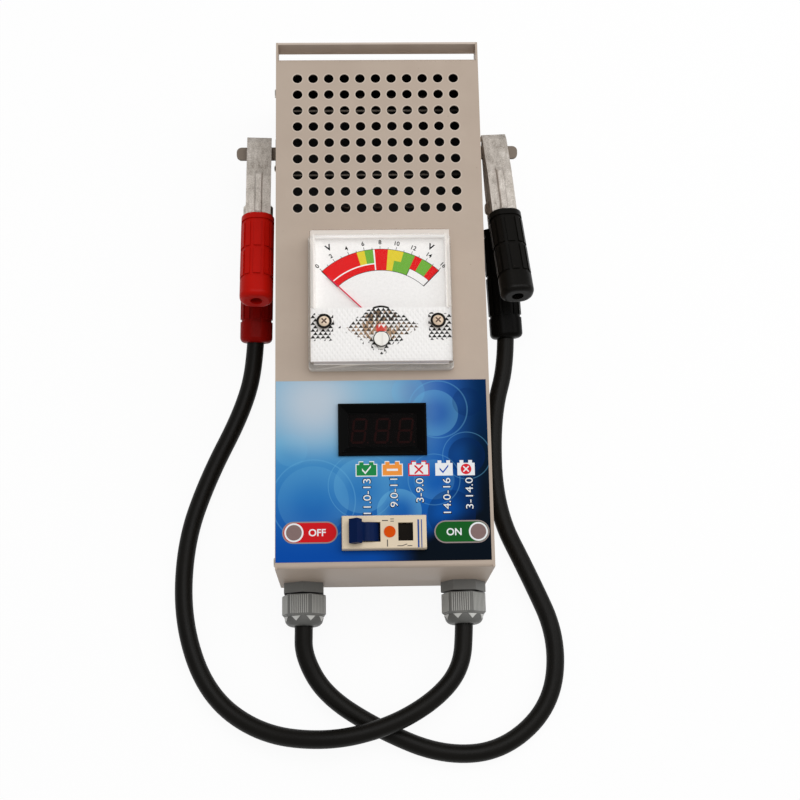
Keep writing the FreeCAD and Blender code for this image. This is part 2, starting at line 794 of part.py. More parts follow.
# Digital voltmeter

def centred_box(name, along, width, height, low, high):
    """A block centred on the instruments' common line."""
    return box(name, (meter_x - width / 2, along - height / 2, low),
               (meter_x + width / 2, along + height / 2, high))


def make_display():
    """Snap-in bezel with its smoked lens, digit module and circuit board."""
    along = dim("display_along")
    front = film_face + dim("display_proud")
    back = film_face - dim("display_body_depth")
    lens_front = front - dim("funnel_depth")
    lens_back = lens_front - 1.1
    rim = centred_box("bezel_rim", along, dim("display_width"), dim("display_height"), film_face, front)
    shell_width = dim("display_body_width")
    shell_height = dim("display_body_height")
    inner_width = shell_width - 3
    inner_height = shell_height - 3
    shell = centred_box("bezel_shell", along, shell_width, shell_height, back, film_face)
    window = centred_box("bezel_window", along, dim("lens_width"), dim("lens_height"), back, front)
    cavity = centred_box("bezel_cavity", along, inner_width, inner_height, back, lens_back - 0.5)
    funnel = make_funnel(along, lens_front, front)
    frame = cut("bezel_frame", fuse("bezel_blank", [rim, shell]), [window, cavity, funnel])
    document.recompute()
    bezel = document.addObject("Part::Chamfer", "display_bezel")
    bezel.Base = frame
    rim_bevel = 0.5
    half_across = dim("display_width").value / 2
    half_along = dim("display_height").value / 2
    bezel.Edges = [
        (index, rim_bevel, rim_bevel) for index, edge in enumerate(frame.Shape.Edges, start=1)
        if lies_at(edge, z=front)
        and (abs(abs(edge.CenterOfMass.x - meter_x.value) - half_across) < 1e-4
             or abs(abs(edge.CenterOfMass.y - along.value) - half_along) < 1e-4)
    ]
    keep(bezel, "display_bezel")
    lens = centred_box("display_lens", along, dim("lens_width"), dim("lens_height"), lens_back, lens_front)
    keep(lens, "display_lens")
    digit_face = lens_back - 0.7
    module_back = digit_face - 8
    module = centred_box("display_module", along, inner_width - 4, inner_height - 4, module_back, digit_face)
    keep(module, "display_module")
    board = centred_box("display_board", along, inner_width, inner_height, module_back - 1.6, module_back)
    keep(board, "display_board")
    keep(solid("display_digits", digit_shapes(along.value, digit_face.value)), "display_digits")


def make_funnel(along, bottom, front):
    """The sloping opening from the bezel's rim down to the lens, as a tool to cut with."""
    rim = dim("funnel_rim")
    funnel = document.addObject("Part::Wedge", "bezel_funnel")
    spans = {
        "Xmin": -dim("lens_width") / 2, "Xmax": dim("lens_width") / 2,
        "Zmin": -dim("lens_height") / 2, "Zmax": dim("lens_height") / 2,
        "X2min": rim - dim("display_width") / 2, "X2max": dim("display_width") / 2 - rim,
        "Z2min": rim - dim("display_height") / 2, "Z2max": dim("display_height") / 2 - rim,
        "Ymin": sized(0), "Ymax": front - bottom,
    }
    for name, amount in spans.items():
        setattr(funnel, name, amount.value)
        bind(funnel, name, amount)
    return place(funnel, (meter_x, along, bottom), FreeCAD.Rotation(FreeCAD.Vector(1, 0, 0), 90))


def digit_shapes(along, height):
    """Three leaning seven-segment digits with their points, as thin separate bars."""
    tall = dim("digit_height").value / 2
    wide = dim("digit_width").value / 2
    bar = 0.6
    thick = 0.3
    lean = math.tan(math.radians(7.5))
    gap = 0.2
    edge = wide - bar
    level = (tall - bar) / 2
    segments = [(0, y, edge - gap, 0) for y in (tall - bar, 0, bar - tall)]
    segments += [(x, y, 0, level - gap) for x in (-edge, edge) for y in (-level, level)]
    shapes = []
    for index in (-1, 0, 1):
        middle = meter_x.value + index * dim("digit_pitch").value
        for x, y, reach, rise in segments:
            if reach:
                corners = [(x - reach, y), (x - reach + bar, y + bar), (x + reach - bar, y + bar),
                           (x + reach, y), (x + reach - bar, y - bar), (x - reach + bar, y - bar)]
            else:
                corners = [(x, y - rise), (x + bar, y - rise + bar), (x + bar, y + rise - bar),
                           (x, y + rise), (x - bar, y + rise - bar), (x - bar, y - rise + bar)]
            points = [FreeCAD.Vector(middle + px + lean * py, along + py, height) for px, py in corners]
            face = Part.Face(Part.makePolygon(points + points[:1]))
            shapes.append(face.extrude(FreeCAD.Vector(0, 0, thick)))
        dot = FreeCAD.Vector(middle + wide + bar, along - tall + bar, height)
        shapes.append(Part.makeCylinder(bar * 0.8, thick, dot))
    return Part.makeCompound(shapes)


# Circuit breaker

breaker_y = dim("breaker_along")
nose_front = depth + dim("nose_proud")
breaker_base = gauge + dim("rail_height")
TERMINAL_ACROSS = 32.0
TOGGLE_BARREL = 10.0
TOGGLE_GRIP = 13.0
WINDOW_LEFT = 7.0
WINDOW_RIGHT = 14.9
WINDOW_HALF = 4.9


def make_breaker_body():
    """Moulded breaker on its rail; only the narrow nose comes out through the panel."""
    body = new_body("breaker_body")
    half = dim("breaker_length") / 2
    nose = dim("nose_length") / 2
    shoulder = dim("shoulder_height")
    section = outline(sketch(body, "section", "XZ_Plane", -breaker_y), [
        (meter_x - half, breaker_base), (meter_x + half, breaker_base), (meter_x + half, shoulder - 8),
        (meter_x + nose, shoulder), (meter_x + nose, nose_front), (meter_x - nose, nose_front),
        (meter_x - nose, shoulder), (meter_x - half, shoulder - 8),
    ])
    pad(body, section, dim("breaker_width"))
    round_edges(body, "nose_edges", 0.7, lambda edge: lies_at(edge, z=nose_front))
    slot = sketch(body, "toggle_slot", "XY_Plane", nose_front)
    reach = dim("toggle_radius") + 0.4
    rectangle(slot, (dim("toggle_across") - reach, breaker_y - TOGGLE_BARREL / 2 - 0.3),
              (dim("toggle_across") + reach, breaker_y + TOGGLE_BARREL / 2 + 0.3))
    pocket(body, slot, nose_front - dim("toggle_height") + reach, "One side")
    window = sketch(body, "window", "XY_Plane", nose_front)
    rectangle(window, (WINDOW_LEFT, breaker_y - WINDOW_HALF), (WINDOW_RIGHT, breaker_y + WINDOW_HALF))
    pocket(body, window, 3, "One side")
    wells = sketch(body, "terminal_wells", "XY_Plane", shoulder)
    for side in (-1, 1):
        circle(wells, (meter_x + side * TERMINAL_ACROSS, breaker_y), 3.2)
    pocket(body, wells, 14, "One side")


def make_breaker_toggle():
    """Rocking toggle, leaning left in its off position."""
    across = dim("toggle_across")
    height = dim("toggle_height")
    barrel = rod("toggle_barrel", (across, breaker_y - TOGGLE_BARREL / 2, height), "+Y",
                 dim("toggle_radius"), TOGGLE_BARREL)
    neck = box("toggle_neck", (-2.5, -TOGGLE_BARREL / 2, 0), (2.5, TOGGLE_BARREL / 2, 8.2))
    grip = box("toggle_grip", (-2.7, -TOGGLE_GRIP / 2, 8.1), (2.7, TOGGLE_GRIP / 2, dim("toggle_reach")))
    lever = fuse("toggle_lever", [neck, grip])
    lean = FreeCAD.Rotation(FreeCAD.Vector(0, 1, 0), -dim("toggle_rest").value)
    place(lever, (across, breaker_y, height), lean)
    keep(fuse("breaker_toggle", [barrel, lever]), "breaker_toggle")


def make_breaker_rail():
    """Short length of top-hat rail on the back of the case."""
    body = new_body("breaker_rail")
    rise = gauge + dim("rail_height")
    section = outline(sketch(body, "section", "XZ_Plane", -breaker_y), [
        (-13.5, gauge), (13.5, gauge), (13.5, rise - 1), (17.5, rise - 1), (17.5, rise), (12.5, rise),
        (12.5, gauge + 1), (-12.5, gauge + 1), (-12.5, rise), (-17.5, rise), (-17.5, rise - 1),
        (-13.5, rise - 1),
    ])
    pad(body, section, 32)


def make_breaker_trim():
    """Terminal screws in their wells, rating disc on the nose and plate behind the window."""
    screws = []
    for name, side in (("left", -1), ("right", 1)):
        across = meter_x + side * TERMINAL_ACROSS
        head = rod(f"terminal_head_{name}", (across, breaker_y, dim("shoulder_height") - 14), "+Z", 2.9, 3)
        slot = box(f"terminal_slot_{name}", (across - 2.9, breaker_y - 0.4, dim("shoulder_height") - 12),
                   (across + 2.9, breaker_y + 0.4, dim("shoulder_height") - 11))
        screws.append(cut(f"terminal_screw_{name}", head, [slot]))
    keep(group("breaker_terminal_screws", screws), "breaker_terminal_screws")
    keep(rod("breaker_rating_disc", (2.5, breaker_y, nose_front), "+Z", 3.1, 0.3), "breaker_rating_disc")
    keep(box("breaker_window", (WINDOW_LEFT, breaker_y - WINDOW_HALF, nose_front - 3),
             (WINDOW_RIGHT, breaker_y + WINDOW_HALF, nose_front - 2.2)), "breaker_window")


# Load resistor and internal wiring

support_base = dim("coil_height") + dim("coil_wire_radius")
terminal_x = dim("coil_pitch") * 3.5
terminal_low = dim("coil_height") - 4.5
terminal_high = dim("coil_height") + 4.5
TERMINAL_HALF = 5.0
LEAD_RADIUS = 2.0


def make_load():
    """Resistance wire in hairpins hung under two upright insulating strips, with its terminals."""
    passes = 8
    pitch = dim("coil_pitch").value
    height = dim("coil_height").value
    bottom = dim("coil_bottom").value
    top = dim("coil_top").value
    turn = pitch / 2
    edges = []
    for index in range(passes):
        x = pitch * (index - (passes - 1) / 2)
        upward = index % 2 == 0
        start_y = bottom if index == 0 else (bottom + 2 * turn if upward else top - turn)
        end_y = bottom if index == passes - 1 else (top - turn if upward else bottom + 2 * turn)
        start = FreeCAD.Vector(x, start_y, height)
        end = FreeCAD.Vector(x, end_y, height)
        edges.append(Part.LineSegment(start, end).toShape())
        if index < passes - 1:
            bulge = FreeCAD.Vector(turn, turn if upward else -turn, 0)
            edges.append(Part.Arc(end, end + bulge, end + FreeCAD.Vector(pitch, 0, 0)).toShape())
    path = Part.Wire(edges)
    first = FreeCAD.Vector(-pitch * (passes - 1) / 2, bottom, height)
    ring = Part.Wire(Part.makeCircle(dim("coil_wire_radius").value, first, FreeCAD.Vector(0, 1, 0)))
    keep(solid("load_coil", path.makePipeShell([ring], True, False)), "load_coil")
    for name, along in (("upper", dim("support_upper")), ("lower", dim("support_lower"))):
        bar = box(f"coil_support_{name}", (-inner_half_width, along - dim("support_width") / 2, support_base),
                  (inner_half_width, along + dim("support_width") / 2, support_base + 8))
        keep(bar, f"coil_support_{name}")
    block_y = dim("coil_bottom") - TERMINAL_HALF
    keep(box("terminal_block", (-inner_half_width, block_y - 6, terminal_low - 8),
             (inner_half_width, block_y + 6, terminal_low)), "terminal_block")
    terminals = []
    for name, side in (("left", -1), ("right", 1)):
        middle = side * terminal_x
        low = (middle - TERMINAL_HALF, block_y - TERMINAL_HALF, terminal_low)
        high = (middle + TERMINAL_HALF, block_y + TERMINAL_HALF, terminal_high)
        terminals.append(box(f"load_terminal_{name}", low, high))
    keep(group("load_terminals", terminals), "load_terminals")


def make_wiring():
    """Heavy leads from the cables and breaker to the load, and thin leads to the meter."""
    face = dim("coil_bottom").value - 2 * TERMINAL_HALF
    end_x = terminal_x.value
    level = dim("coil_height").value
    start_y = RIGHT_CABLE_ROUTE[0][1]
    breaker_end = meter_x.value - dim("breaker_length").value / 2
    load_route = [(breaker_end, breaker_y.value, 36), (-50, breaker_y.value, 36), (-50.5, -112, 37),
                  (-50, -60, 40), (-50, 0, 44), (-44, 24, level), (-end_x, 38, level), (-end_x, face, level)]
    keep(solid("load_lead", tube(load_route, LEAD_RADIUS)[0]), "load_lead")
    return_route = [(-45, start_y, 13), (-45, -122, 13), (-46, -90, 14), (-46, -40, 16), (-34, 0, 22),
                    (0, 20, 34), (24, 30, level), (end_x, 38, level), (end_x, face, level)]
    keep(solid("return_lead", tube(return_route, LEAD_RADIUS)[0]), "return_lead")
    across = dim("gland_across")
    bar_half = 5.0
    bar_gauge = 1.5
    bar_top = 40.0
    breaker_far_end = meter_x + dim("breaker_length") / 2
    barrel = rod("busbar_barrel", (across, start_y, dim("gland_height")), "+Y", 3.5, 14)
    riser = box("busbar_riser", (across, breaker_y - bar_half, dim("gland_height")),
                (across + bar_gauge, breaker_y + bar_half, bar_top))
    foot = box("busbar_foot", (breaker_far_end, breaker_y - bar_half, bar_top - bar_gauge),
               (across + bar_gauge, breaker_y + bar_half, bar_top))
    keep(fuse("input_busbar", [barrel, riser, foot]), "input_busbar")
    thin = 0.8
    wires = []
    for (stud_x, stud_y), side in zip(stud_places, (-1, 1)):
        begin = depth.value - STUD_TAIL
        lane = side * end_x + 3.4
        route = [(stud_x.value, stud_y.value, begin), (stud_x.value, stud_y.value, begin - 4),
                 (lane, stud_y.value + 10, level + 2), (lane, face, level + 2)]
        wires.append(tube(route, thin)[0])
    keep(solid("meter_leads", Part.makeCompound(wires)), "meter_leads")


# Cable glands and cables

def make_gland(name, side, flange_spin, nut_spin):
    """Flanged body through the wall, lock nut inside, dome nut outside and rubber seal."""
    centre_x = side * dim("gland_across")
    centre_z = dim("gland_height")
    flats = dim("gland_flats")
    thread = dim("gland_thread_radius")
    bore = dim("cable_radius") + 1.35

    def at(along):
        return (centre_x, along, centre_z)

    wall = -half_length
    nut_gap = 0.8
    flange_end = wall - dim("gland_flange")
    nut_start = flange_end - nut_gap
    nut_end = nut_start - dim("gland_nut_length")
    body_end = nut_start - 9
    inner_end = wall + 8.5
    stub = rod(f"gland_stub_{name}", at(inner_end), "-Y", thread, inner_end - body_end)
    flange = hexagon(f"gland_flange_{name}", at(wall), "-Y", flats, dim("gland_flange"), flange_spin)
    hole = rod(f"gland_bore_{name}", at(inner_end), "-Y", bore, inner_end - body_end)
    keep(cut(f"gland_body_{name}", fuse(f"gland_blank_{name}", [stub, flange]), [hole]), f"gland_body_{name}")

    nut_face = wall + gauge
    lock = hexagon(f"locknut_blank_{name}", at(nut_face + 4.5), "-Y", flats - 2, 4.5, 30)
    lock_hole = rod(f"locknut_bore_{name}", at(nut_face + 4.5), "-Y", thread + HOLE_PLAY, 4.5)
    keep(cut(f"gland_locknut_{name}", lock, [lock_hole]), f"gland_locknut_{name}")

    hexagon_length = dim("gland_nut_length") * 0.7
    blank = hexagon(f"nut_hexagon_{name}", at(nut_start), "-Y", flats, hexagon_length, nut_spin)
    corner = flats / 2 + 1.4
    straight = rod(f"nut_straight_{name}", at(nut_start), "-Y", corner, hexagon_length - 1.4)
    bevel = cone(f"nut_bevel_{name}", at(nut_start - hexagon_length + 1.4), "-Y", corner, flats / 2, 1.4)
    prism = document.addObject("Part::MultiCommon", f"nut_prism_{name}")
    prism.Shapes = [blank, fuse(f"nut_envelope_{name}", [straight, bevel])]
    dome_start = nut_start - hexagon_length + 1
    dome_blank = rod(f"nut_dome_blank_{name}", at(dome_start), "-Y", flats / 2 - 0.3, dome_start - nut_end)
    document.recompute()
    dome_round = 3.9
    dome = document.addObject("Part::Fillet", f"nut_dome_{name}")
    dome.Base = dome_blank
    dome.Edges = [
        (index, dome_round, dome_round) for index, edge in enumerate(dome_blank.Shape.Edges, start=1)
        if abs(edge.BoundBox.YMax - nut_end.value) < 1e-4
    ]
    thread_depth = nut_start - body_end + 1.4
    threaded = rod(f"nut_thread_{name}", at(nut_start + 1), "-Y", thread + HOLE_PLAY, thread_depth)
    throat = rod(f"nut_throat_{name}", at(nut_start), "-Y", dim("cable_radius") + 0.35, nut_start - nut_end)
    outside = fuse(f"nut_outside_{name}", [prism, dome])
    keep(cut(f"gland_nut_{name}", outside, [threaded, throat]), f"gland_nut_{name}")

    seal_start = wall - 2
    seal_length = seal_start - body_end
    ring = rod(f"seal_ring_{name}", at(seal_start), "-Y", bore - HOLE_PLAY, seal_length)
    passage = rod(f"seal_bore_{name}", at(seal_start), "-Y", dim("cable_radius") + HOLE_PLAY, seal_length)
    keep(cut(f"gland_seal_{name}", ring, [passage]), f"gland_seal_{name}")


def make_cables():
    for name, route in (("cable_right", RIGHT_CABLE_ROUTE), ("cable_left", LEFT_CABLE_ROUTE)):
        shape, length, radii = tube(route, dim("cable_radius").value)
        print(name, f"length {length:.1f}", "radii", [round(radius) for radius in radii])
        keep(solid(name, shape), name)


# Spring clamps, each drawn about its pivot: X across, Y towards the jaw tips, Z up

jaw_half = dim("jaw_width") / 2
jaw_gauge = dim("jaw_gauge")
slope = math.tan(math.radians(DIMENSIONS["handle_angle"]))
lean_cos = math.cos(math.radians(DIMENSIONS["handle_angle"]))
lean_sin = math.sin(math.radians(DIMENSIONS["handle_angle"]))
LEVER_PLAY = 0.2
JAW_NOSE = 5.5
BITE = 1.6
TOOTH_START = 16.0
TOOTH_PITCH = 4.0
TEETH = 7
SLEEVE_ROUND = 7.5
BEAD_WIDTH = 4.4
RELIEF = 0.7
SLEEVE_HOLE = 3.4
FRONT_RING = 3.5
GRIP_GAP = 1.8


def clamp_place(name):
    """Where a clamp's pivot stands, and how the clamp is turned in plan and rolled about its length."""
    across, along, turn, roll = CLAMPS[name]
    pivot = FreeCAD.Vector(across, along, dim("lug_height").value)
    plan = FreeCAD.Rotation(FreeCAD.Vector(0, 0, 1), turn)
    return FreeCAD.Placement(pivot, plan.multiply(FreeCAD.Rotation(FreeCAD.Vector(0, 1, 0), roll)))


def make_lever(label, up, width, handle, gap):
    """One pressed-steel half: toothed jaw, pivot ears and handle, folded to a channel.

    up is 1 for the upper half and -1 for the lower; gap is the space left to the hook's tongue.
    """
    body = new_body(label)
    reach = dim("jaw_reach")
    start = dim("handle_start")
    rise = dim("handle_rise")
    end_y = -start - handle * lean_cos
    end_z = rise + handle * lean_sin
    drop = dim("handle_depth")
    bite = sized(BITE + gap)
    points = [
        (reach, bite), (reach, sized(JAW_NOSE)), (reach - 4, JAW_NOSE + 2.5), (reach * 0.4, rise - 1.5),
        (-start, rise), (end_y, end_z), (end_y - drop * lean_sin, end_z - drop * lean_cos),
        (-start - 2.5, rise + 2.5 * slope - drop / lean_cos), (sized(-5.5), sized(-4.5)),
        (sized(5.5), sized(-4.5)), (sized(9), sized(3)), (sized(14), bite),
    ]
    section = sketch(body, "section", "YZ_Plane")
    outline(section, [(y, up * sized(z)) for y, z in points])
    pad(body, section, width)
    far = dim("upper_handle") + 20
    open_side = sized(-12)
    fold = [
        (reach - jaw_gauge, open_side), (reach - jaw_gauge, JAW_NOSE - jaw_gauge * 0.6),
        (reach - 4 - jaw_gauge * 0.5, JAW_NOSE + 2.5 - jaw_gauge), (reach * 0.4, rise - 1.5 - jaw_gauge),
        (-start, rise - jaw_gauge), (-start - far, rise + far * slope - jaw_gauge), (-start - far, open_side),
    ]
    channel = sketch(body, "channel", "YZ_Plane")
    outline(channel, [(y, up * sized(z)) for y, z in fold])
    pocket(body, channel, width - 2 * jaw_gauge)
    eye = circle(sketch(body, "pivot_hole", "YZ_Plane"), (sized(0), sized(0)), dim("pivot_radius") + 0.05)
    pocket(body, eye)
    teeth = sketch(body, "tooth_gap", "YZ_Plane")
    outline(teeth, [
        (sized(TOOTH_START), up * (bite - 0.5)), (sized(TOOTH_START + 3), up * (bite - 0.5)),
        (sized(TOOTH_START + 1.5), up * (bite + 1.6)),
    ])
    first = pocket(body, teeth)
    row = body.newObject("PartDesign::LinearPattern", f"{body.Name}_teeth")
    row.Originals = [first]
    row.Direction = (teeth, ["H_Axis"])
    row.Length = TOOTH_PITCH * (TEETH - 1)
    row.Occurrences = TEETH
    body.Tip = row
    return body


def make_bead(body):
    """Stiffening bead pressed along the top of the upper jaw."""
    rise = dim("handle_rise")
    start = dim("handle_start")
    top = sketch(body, "bead", "YZ_Plane")
    outline(top, [
        (sized(22), rise - 2.4), (sized(18.5), rise + 0.2), (-start + 1, rise + 1.5),
        (-start - 1, rise + 0.6), (-start + 0.5, rise - 0.4), (sized(14), rise - 1.7),
    ])
    pad(body, top, BEAD_WIDTH)
    round_edges(body, "bead_edges", 1.0, lambda edge: edge.CenterOfMass.z > rise.value + 0.2
                and edge.Length > 20 and abs(abs(edge.CenterOfMass.x) - BEAD_WIDTH / 2) < 1e-4)


def make_sleeve(label, handle_width, length, cable_bore):
    """Moulded grip pushed over a handle, along -Y from the handle's root; its cavity fits the handle.

    A ring at the front, a collar at the end and two rows of raised grip pads stand on a slimmer core.
    """
    body = new_body(label)
    wide = dim("sleeve_width") / 2
    tall = dim("sleeve_height") / 2
    start = dim("sleeve_start")
    collar = dim("sleeve_collar")
    core = sketch(body, "core", "XZ_Plane", start)
    rectangle(core, (RELIEF - wide, RELIEF - tall), (wide - RELIEF, tall - RELIEF))
    pad(body, core, length - start, "One side")
    round_edges(body, "core_edges", SLEEVE_ROUND - RELIEF, lambda edge: runs_along(edge, 1))
    for name, band_start, band_length in (("ring", start, FRONT_RING), ("collar", length - collar, collar)):
        band = rectangle(sketch(body, name, "XZ_Plane", band_start), (-wide, -tall), (wide, tall))
        pad(body, band, band_length, "One side")
        round_edges(body, f"{name}_edges", SLEEVE_ROUND, lambda edge: runs_along(edge, 1)
                    and abs(abs(edge.CenterOfMass.x) - wide.value) < 1e-4
                    and abs(abs(edge.CenterOfMass.z) - tall.value) < 1e-4)
    round_edges(body, "end_edges", 3, lambda edge: lies_at(edge, y=-length))
    row_length = (length - start - FRONT_RING - collar - 3 * GRIP_GAP) / 2
    for index in (0, 1):
        row_start = start + FRONT_RING + GRIP_GAP + index * (row_length + GRIP_GAP)
        pads = grip_pads(sketch(body, f"grip_row_{index}", "XZ_Plane", row_start), wide, tall)
        pad(body, pads, row_length, "One side")
    cavity = sketch(body, "cavity", "XZ_Plane", start)
    half = handle_width / 2
    deep = dim("handle_depth") / 2
    rectangle(cavity, (-half, -deep), (half, deep))
    handle = dim("lower_handle") if cable_bore else dim("upper_handle")
    pocket(body, cavity, handle - start + 0.2, "One side", True)
    passage = sketch(body, "passage", "XZ_Plane", start)
    circle(passage, (sized(0), sized(0)), dim("cable_radius") + 0.35 if cable_bore else sized(SLEEVE_HOLE))
    pocket(body, passage, None, "One side", True)
    return body


def grip_pads(item, wide, tall):
    """Outlines of one row of grip pads: one on each side of the sleeve and two on each rounded corner."""
    root = 2.0
    side_half = 2.1
    corner_half = 1.45
    rectangle(item, (-side_half, tall - root), (side_half, tall))
    rectangle(item, (-side_half, -tall), (side_half, root - tall))
    rectangle(item, (wide - root, -side_half), (wide, side_half))
    rectangle(item, (-wide, -side_half), (root - wide, side_half))
    middle_x = wide - SLEEVE_ROUND
    middle_z = tall - SLEEVE_ROUND
    inner, outer = SLEEVE_ROUND - root, SLEEVE_ROUND - 0.1
    rim = [(inner, -corner_half), (outer, -corner_half), (outer, corner_half), (inner, corner_half)]
    for right in (-1, 1):
        for up in (-1, 1):
            for lean in (math.radians(28), math.radians(62)):
                out_x, out_z = math.cos(lean), math.sin(lean)
                corners = [
                    (radius * out_x - aside * out_z, radius * out_z + aside * out_x) for radius, aside in rim
                ]
                outline(item, [(right * (middle_x + x), up * (middle_z + z)) for x, z in corners])
    return item


def handle_place(name, up):
    """Frame of a handle: origin at the middle of its root, -Y along the handle."""
    rise = dim("handle_rise").value - dim("handle_depth").value / 2 * lean_cos
    root = -dim("handle_start").value - dim("handle_depth").value / 2 * lean_sin
    tilt = FreeCAD.Rotation(FreeCAD.Vector(1, 0, 0), -up * DIMENSIONS["handle_angle"])
    return clamp_place(name).multiply(FreeCAD.Placement(FreeCAD.Vector(0, root, up * rise), tilt))


def make_clamp(name):
    lower_width = dim("jaw_width") - 2 * (jaw_gauge + LEVER_PLAY)
    upper = make_lever(f"clamp_upper_jaw_{name}", 1, dim("jaw_width"), dim("upper_handle"), 0.05)
    make_bead(upper)
    lower = make_lever(f"clamp_lower_jaw_{name}", -1, lower_width, dim("lower_handle"), 0.0)
    for body in (upper, lower):
        body.Placement = clamp_place(name)
    upper_sleeve = make_sleeve(f"clamp_upper_sleeve_{name}", dim("jaw_width"), dim("upper_sleeve"), False)
    upper_sleeve.Placement = handle_place(name, 1)
    lower_sleeve = make_sleeve(f"clamp_lower_sleeve_{name}", lower_width, dim("lower_sleeve"), True)
    lower_sleeve.Placement = handle_place(name, -1)


def pivot_shape():
    """Riveted pivot pin with a head outside each ear."""
    radius = dim("pivot_radius").value
    half = jaw_half.value
    across = FreeCAD.Vector(1, 0, 0)
    seat = half + 0.05
    shank = Part.makeCylinder(radius, 2 * seat, FreeCAD.Vector(-seat, 0, 0), across)
    heads = [
        Part.makeCone(4.2, 2.8, 1.4, FreeCAD.Vector(side * seat, 0, 0), across * side) for side in (-1, 1)
    ]
    return shank.fuse(heads).removeSplitter()


def spring_shape():
    """Torsion spring round the pivot with a leg against each handle."""
    wire = 0.7
    mean = 3.9
    turns = 3.5
    pitch = 1.5
    leg = 7.5
    coil_length = turns * pitch
    helix = Part.makeHelix(pitch, coil_length, mean)
    climb = FreeCAD.Vector(0, 2 * math.pi * mean, pitch).normalize()
    start = FreeCAD.Vector(mean, 0, 0)
    end = FreeCAD.Vector(-mean, 0, coil_length)
    first_leg = start - climb * leg
    last_leg = end + FreeCAD.Vector(0, -climb.y, climb.z) * leg
    path = Part.Wire([
        Part.LineSegment(first_leg, start).toShape(), *helix.Edges, Part.LineSegment(end, last_leg).toShape(),
    ])
    sweep = Part.BRepOffsetAPI.MakePipeShell(path)
    sweep.setBiNormalMode(FreeCAD.Vector(0, 0, 1))
    sweep.add(Part.Wire(Part.makeCircle(wire, first_leg, climb)))
    sweep.build()
    sweep.makeSolid()
    shape = sweep.shape()
    shape.translate(FreeCAD.Vector(0, 0, -coil_length / 2))
    shape.rotate(FreeCAD.Vector(0, 0, 0), FreeCAD.Vector(0, 1, 0), 90)
    return shape


def crimp_shape():
    """Flattened crimp that ties the cable's end to the lower handle."""
    end = dim("cable_end").value
    width = 7.4
    length = 14.0
    thickness = 4.4
    return Part.makeBox(width, length, thickness, FreeCAD.Vector(-width / 2, -end, -1.7))


def make_clamp_hardware():
    """Pivot pins, springs and crimps, one of each for either clamp."""
    for label, shape_of, place_of in (
        ("clamp_pivots", pivot_shape, clamp_place),
        ("clamp_springs", spring_shape, clamp_place),
        ("cable_crimps", crimp_shape, lambda name: handle_place(name, -1)),
    ):
        shapes = []
        for name in CLAMPS:
            shape = shape_of()
            shape.Placement = place_of(name).multiply(shape.Placement)
            shapes.append(shape)
        keep(solid(label, Part.makeCompound(shapes)), label)


make_front_cover()
make_rear_shell()
make_top_strap()
make_case_rivets()
make_cover_screws()
make_storage_lug("storage_lug_left", -1)
make_storage_lug("storage_lug_right", 1)
make_panel_label()
make_meter_case()
make_meter_cover()
make_meter_dial()
make_meter_movement()
make_meter_needle()
make_meter_fasteners()
make_display()
make_breaker_body()
make_breaker_toggle()
make_breaker_rail()
make_breaker_trim()
make_load()
make_wiring()
make_gland("left", -1, 30, 12)
make_gland("right", 1, 0, 12)
make_cables()
for clamp in CLAMPS:
    make_clamp(clamp)
make_clamp_hardware()

document.recompute()
for item in document.Objects:
    if "Invalid" in item.State or "Error" in item.State:
        raise RuntimeError(f"{item.Name} failed: {item.State}")
for item in SUB_PARTS:
    if item.Shape.isNull() or not item.Shape.isValid() or not item.Shape.Solids:
        raise RuntimeError(f"{item.Label} has no valid solid")

os.makedirs("parts", exist_ok=True)
for item in SUB_PARTS:
    item.Shape.exportStep(f"parts/{item.Label}.step")
    print(item.Label, len(item.Shape.Solids), f"{item.Shape.Volume:.0f}")
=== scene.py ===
"""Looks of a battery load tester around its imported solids: cords, finishes, prints and small details."""

import math

import bmesh
import bpy
from mathutils import Matrix, Vector


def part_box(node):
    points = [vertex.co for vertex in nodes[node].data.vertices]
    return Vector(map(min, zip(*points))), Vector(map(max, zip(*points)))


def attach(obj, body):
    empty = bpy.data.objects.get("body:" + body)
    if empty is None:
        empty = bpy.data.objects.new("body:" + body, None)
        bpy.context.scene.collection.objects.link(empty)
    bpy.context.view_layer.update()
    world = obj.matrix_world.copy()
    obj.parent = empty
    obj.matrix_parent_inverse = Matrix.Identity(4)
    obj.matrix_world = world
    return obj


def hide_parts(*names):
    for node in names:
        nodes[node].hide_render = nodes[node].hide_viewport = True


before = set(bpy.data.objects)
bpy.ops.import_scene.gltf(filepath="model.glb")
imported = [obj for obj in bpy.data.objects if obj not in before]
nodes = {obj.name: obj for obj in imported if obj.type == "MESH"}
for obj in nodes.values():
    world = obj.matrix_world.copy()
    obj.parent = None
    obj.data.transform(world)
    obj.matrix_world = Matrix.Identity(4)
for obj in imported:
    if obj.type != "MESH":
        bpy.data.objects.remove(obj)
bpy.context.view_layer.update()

scene = bpy.context.scene

# Shapes below are in millimetres and become metres when a piece is made.
MM = 0.001


def span(node):
    """Lowest and highest corner of a solid in millimetres."""
    low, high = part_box(node)
    return low / MM, high / MM


def middle_along(node):
    """Middle of a solid along the case."""
    low, high = span(node)
    return (low.y + high.y) / 2


def add_object(name, data):
    made = bpy.data.objects.new(name, data)
    scene.collection.objects.link(made)
    return made


# Places and sizes that finishes and pieces share

LEFT_AND_RIGHT = (-1, 1)

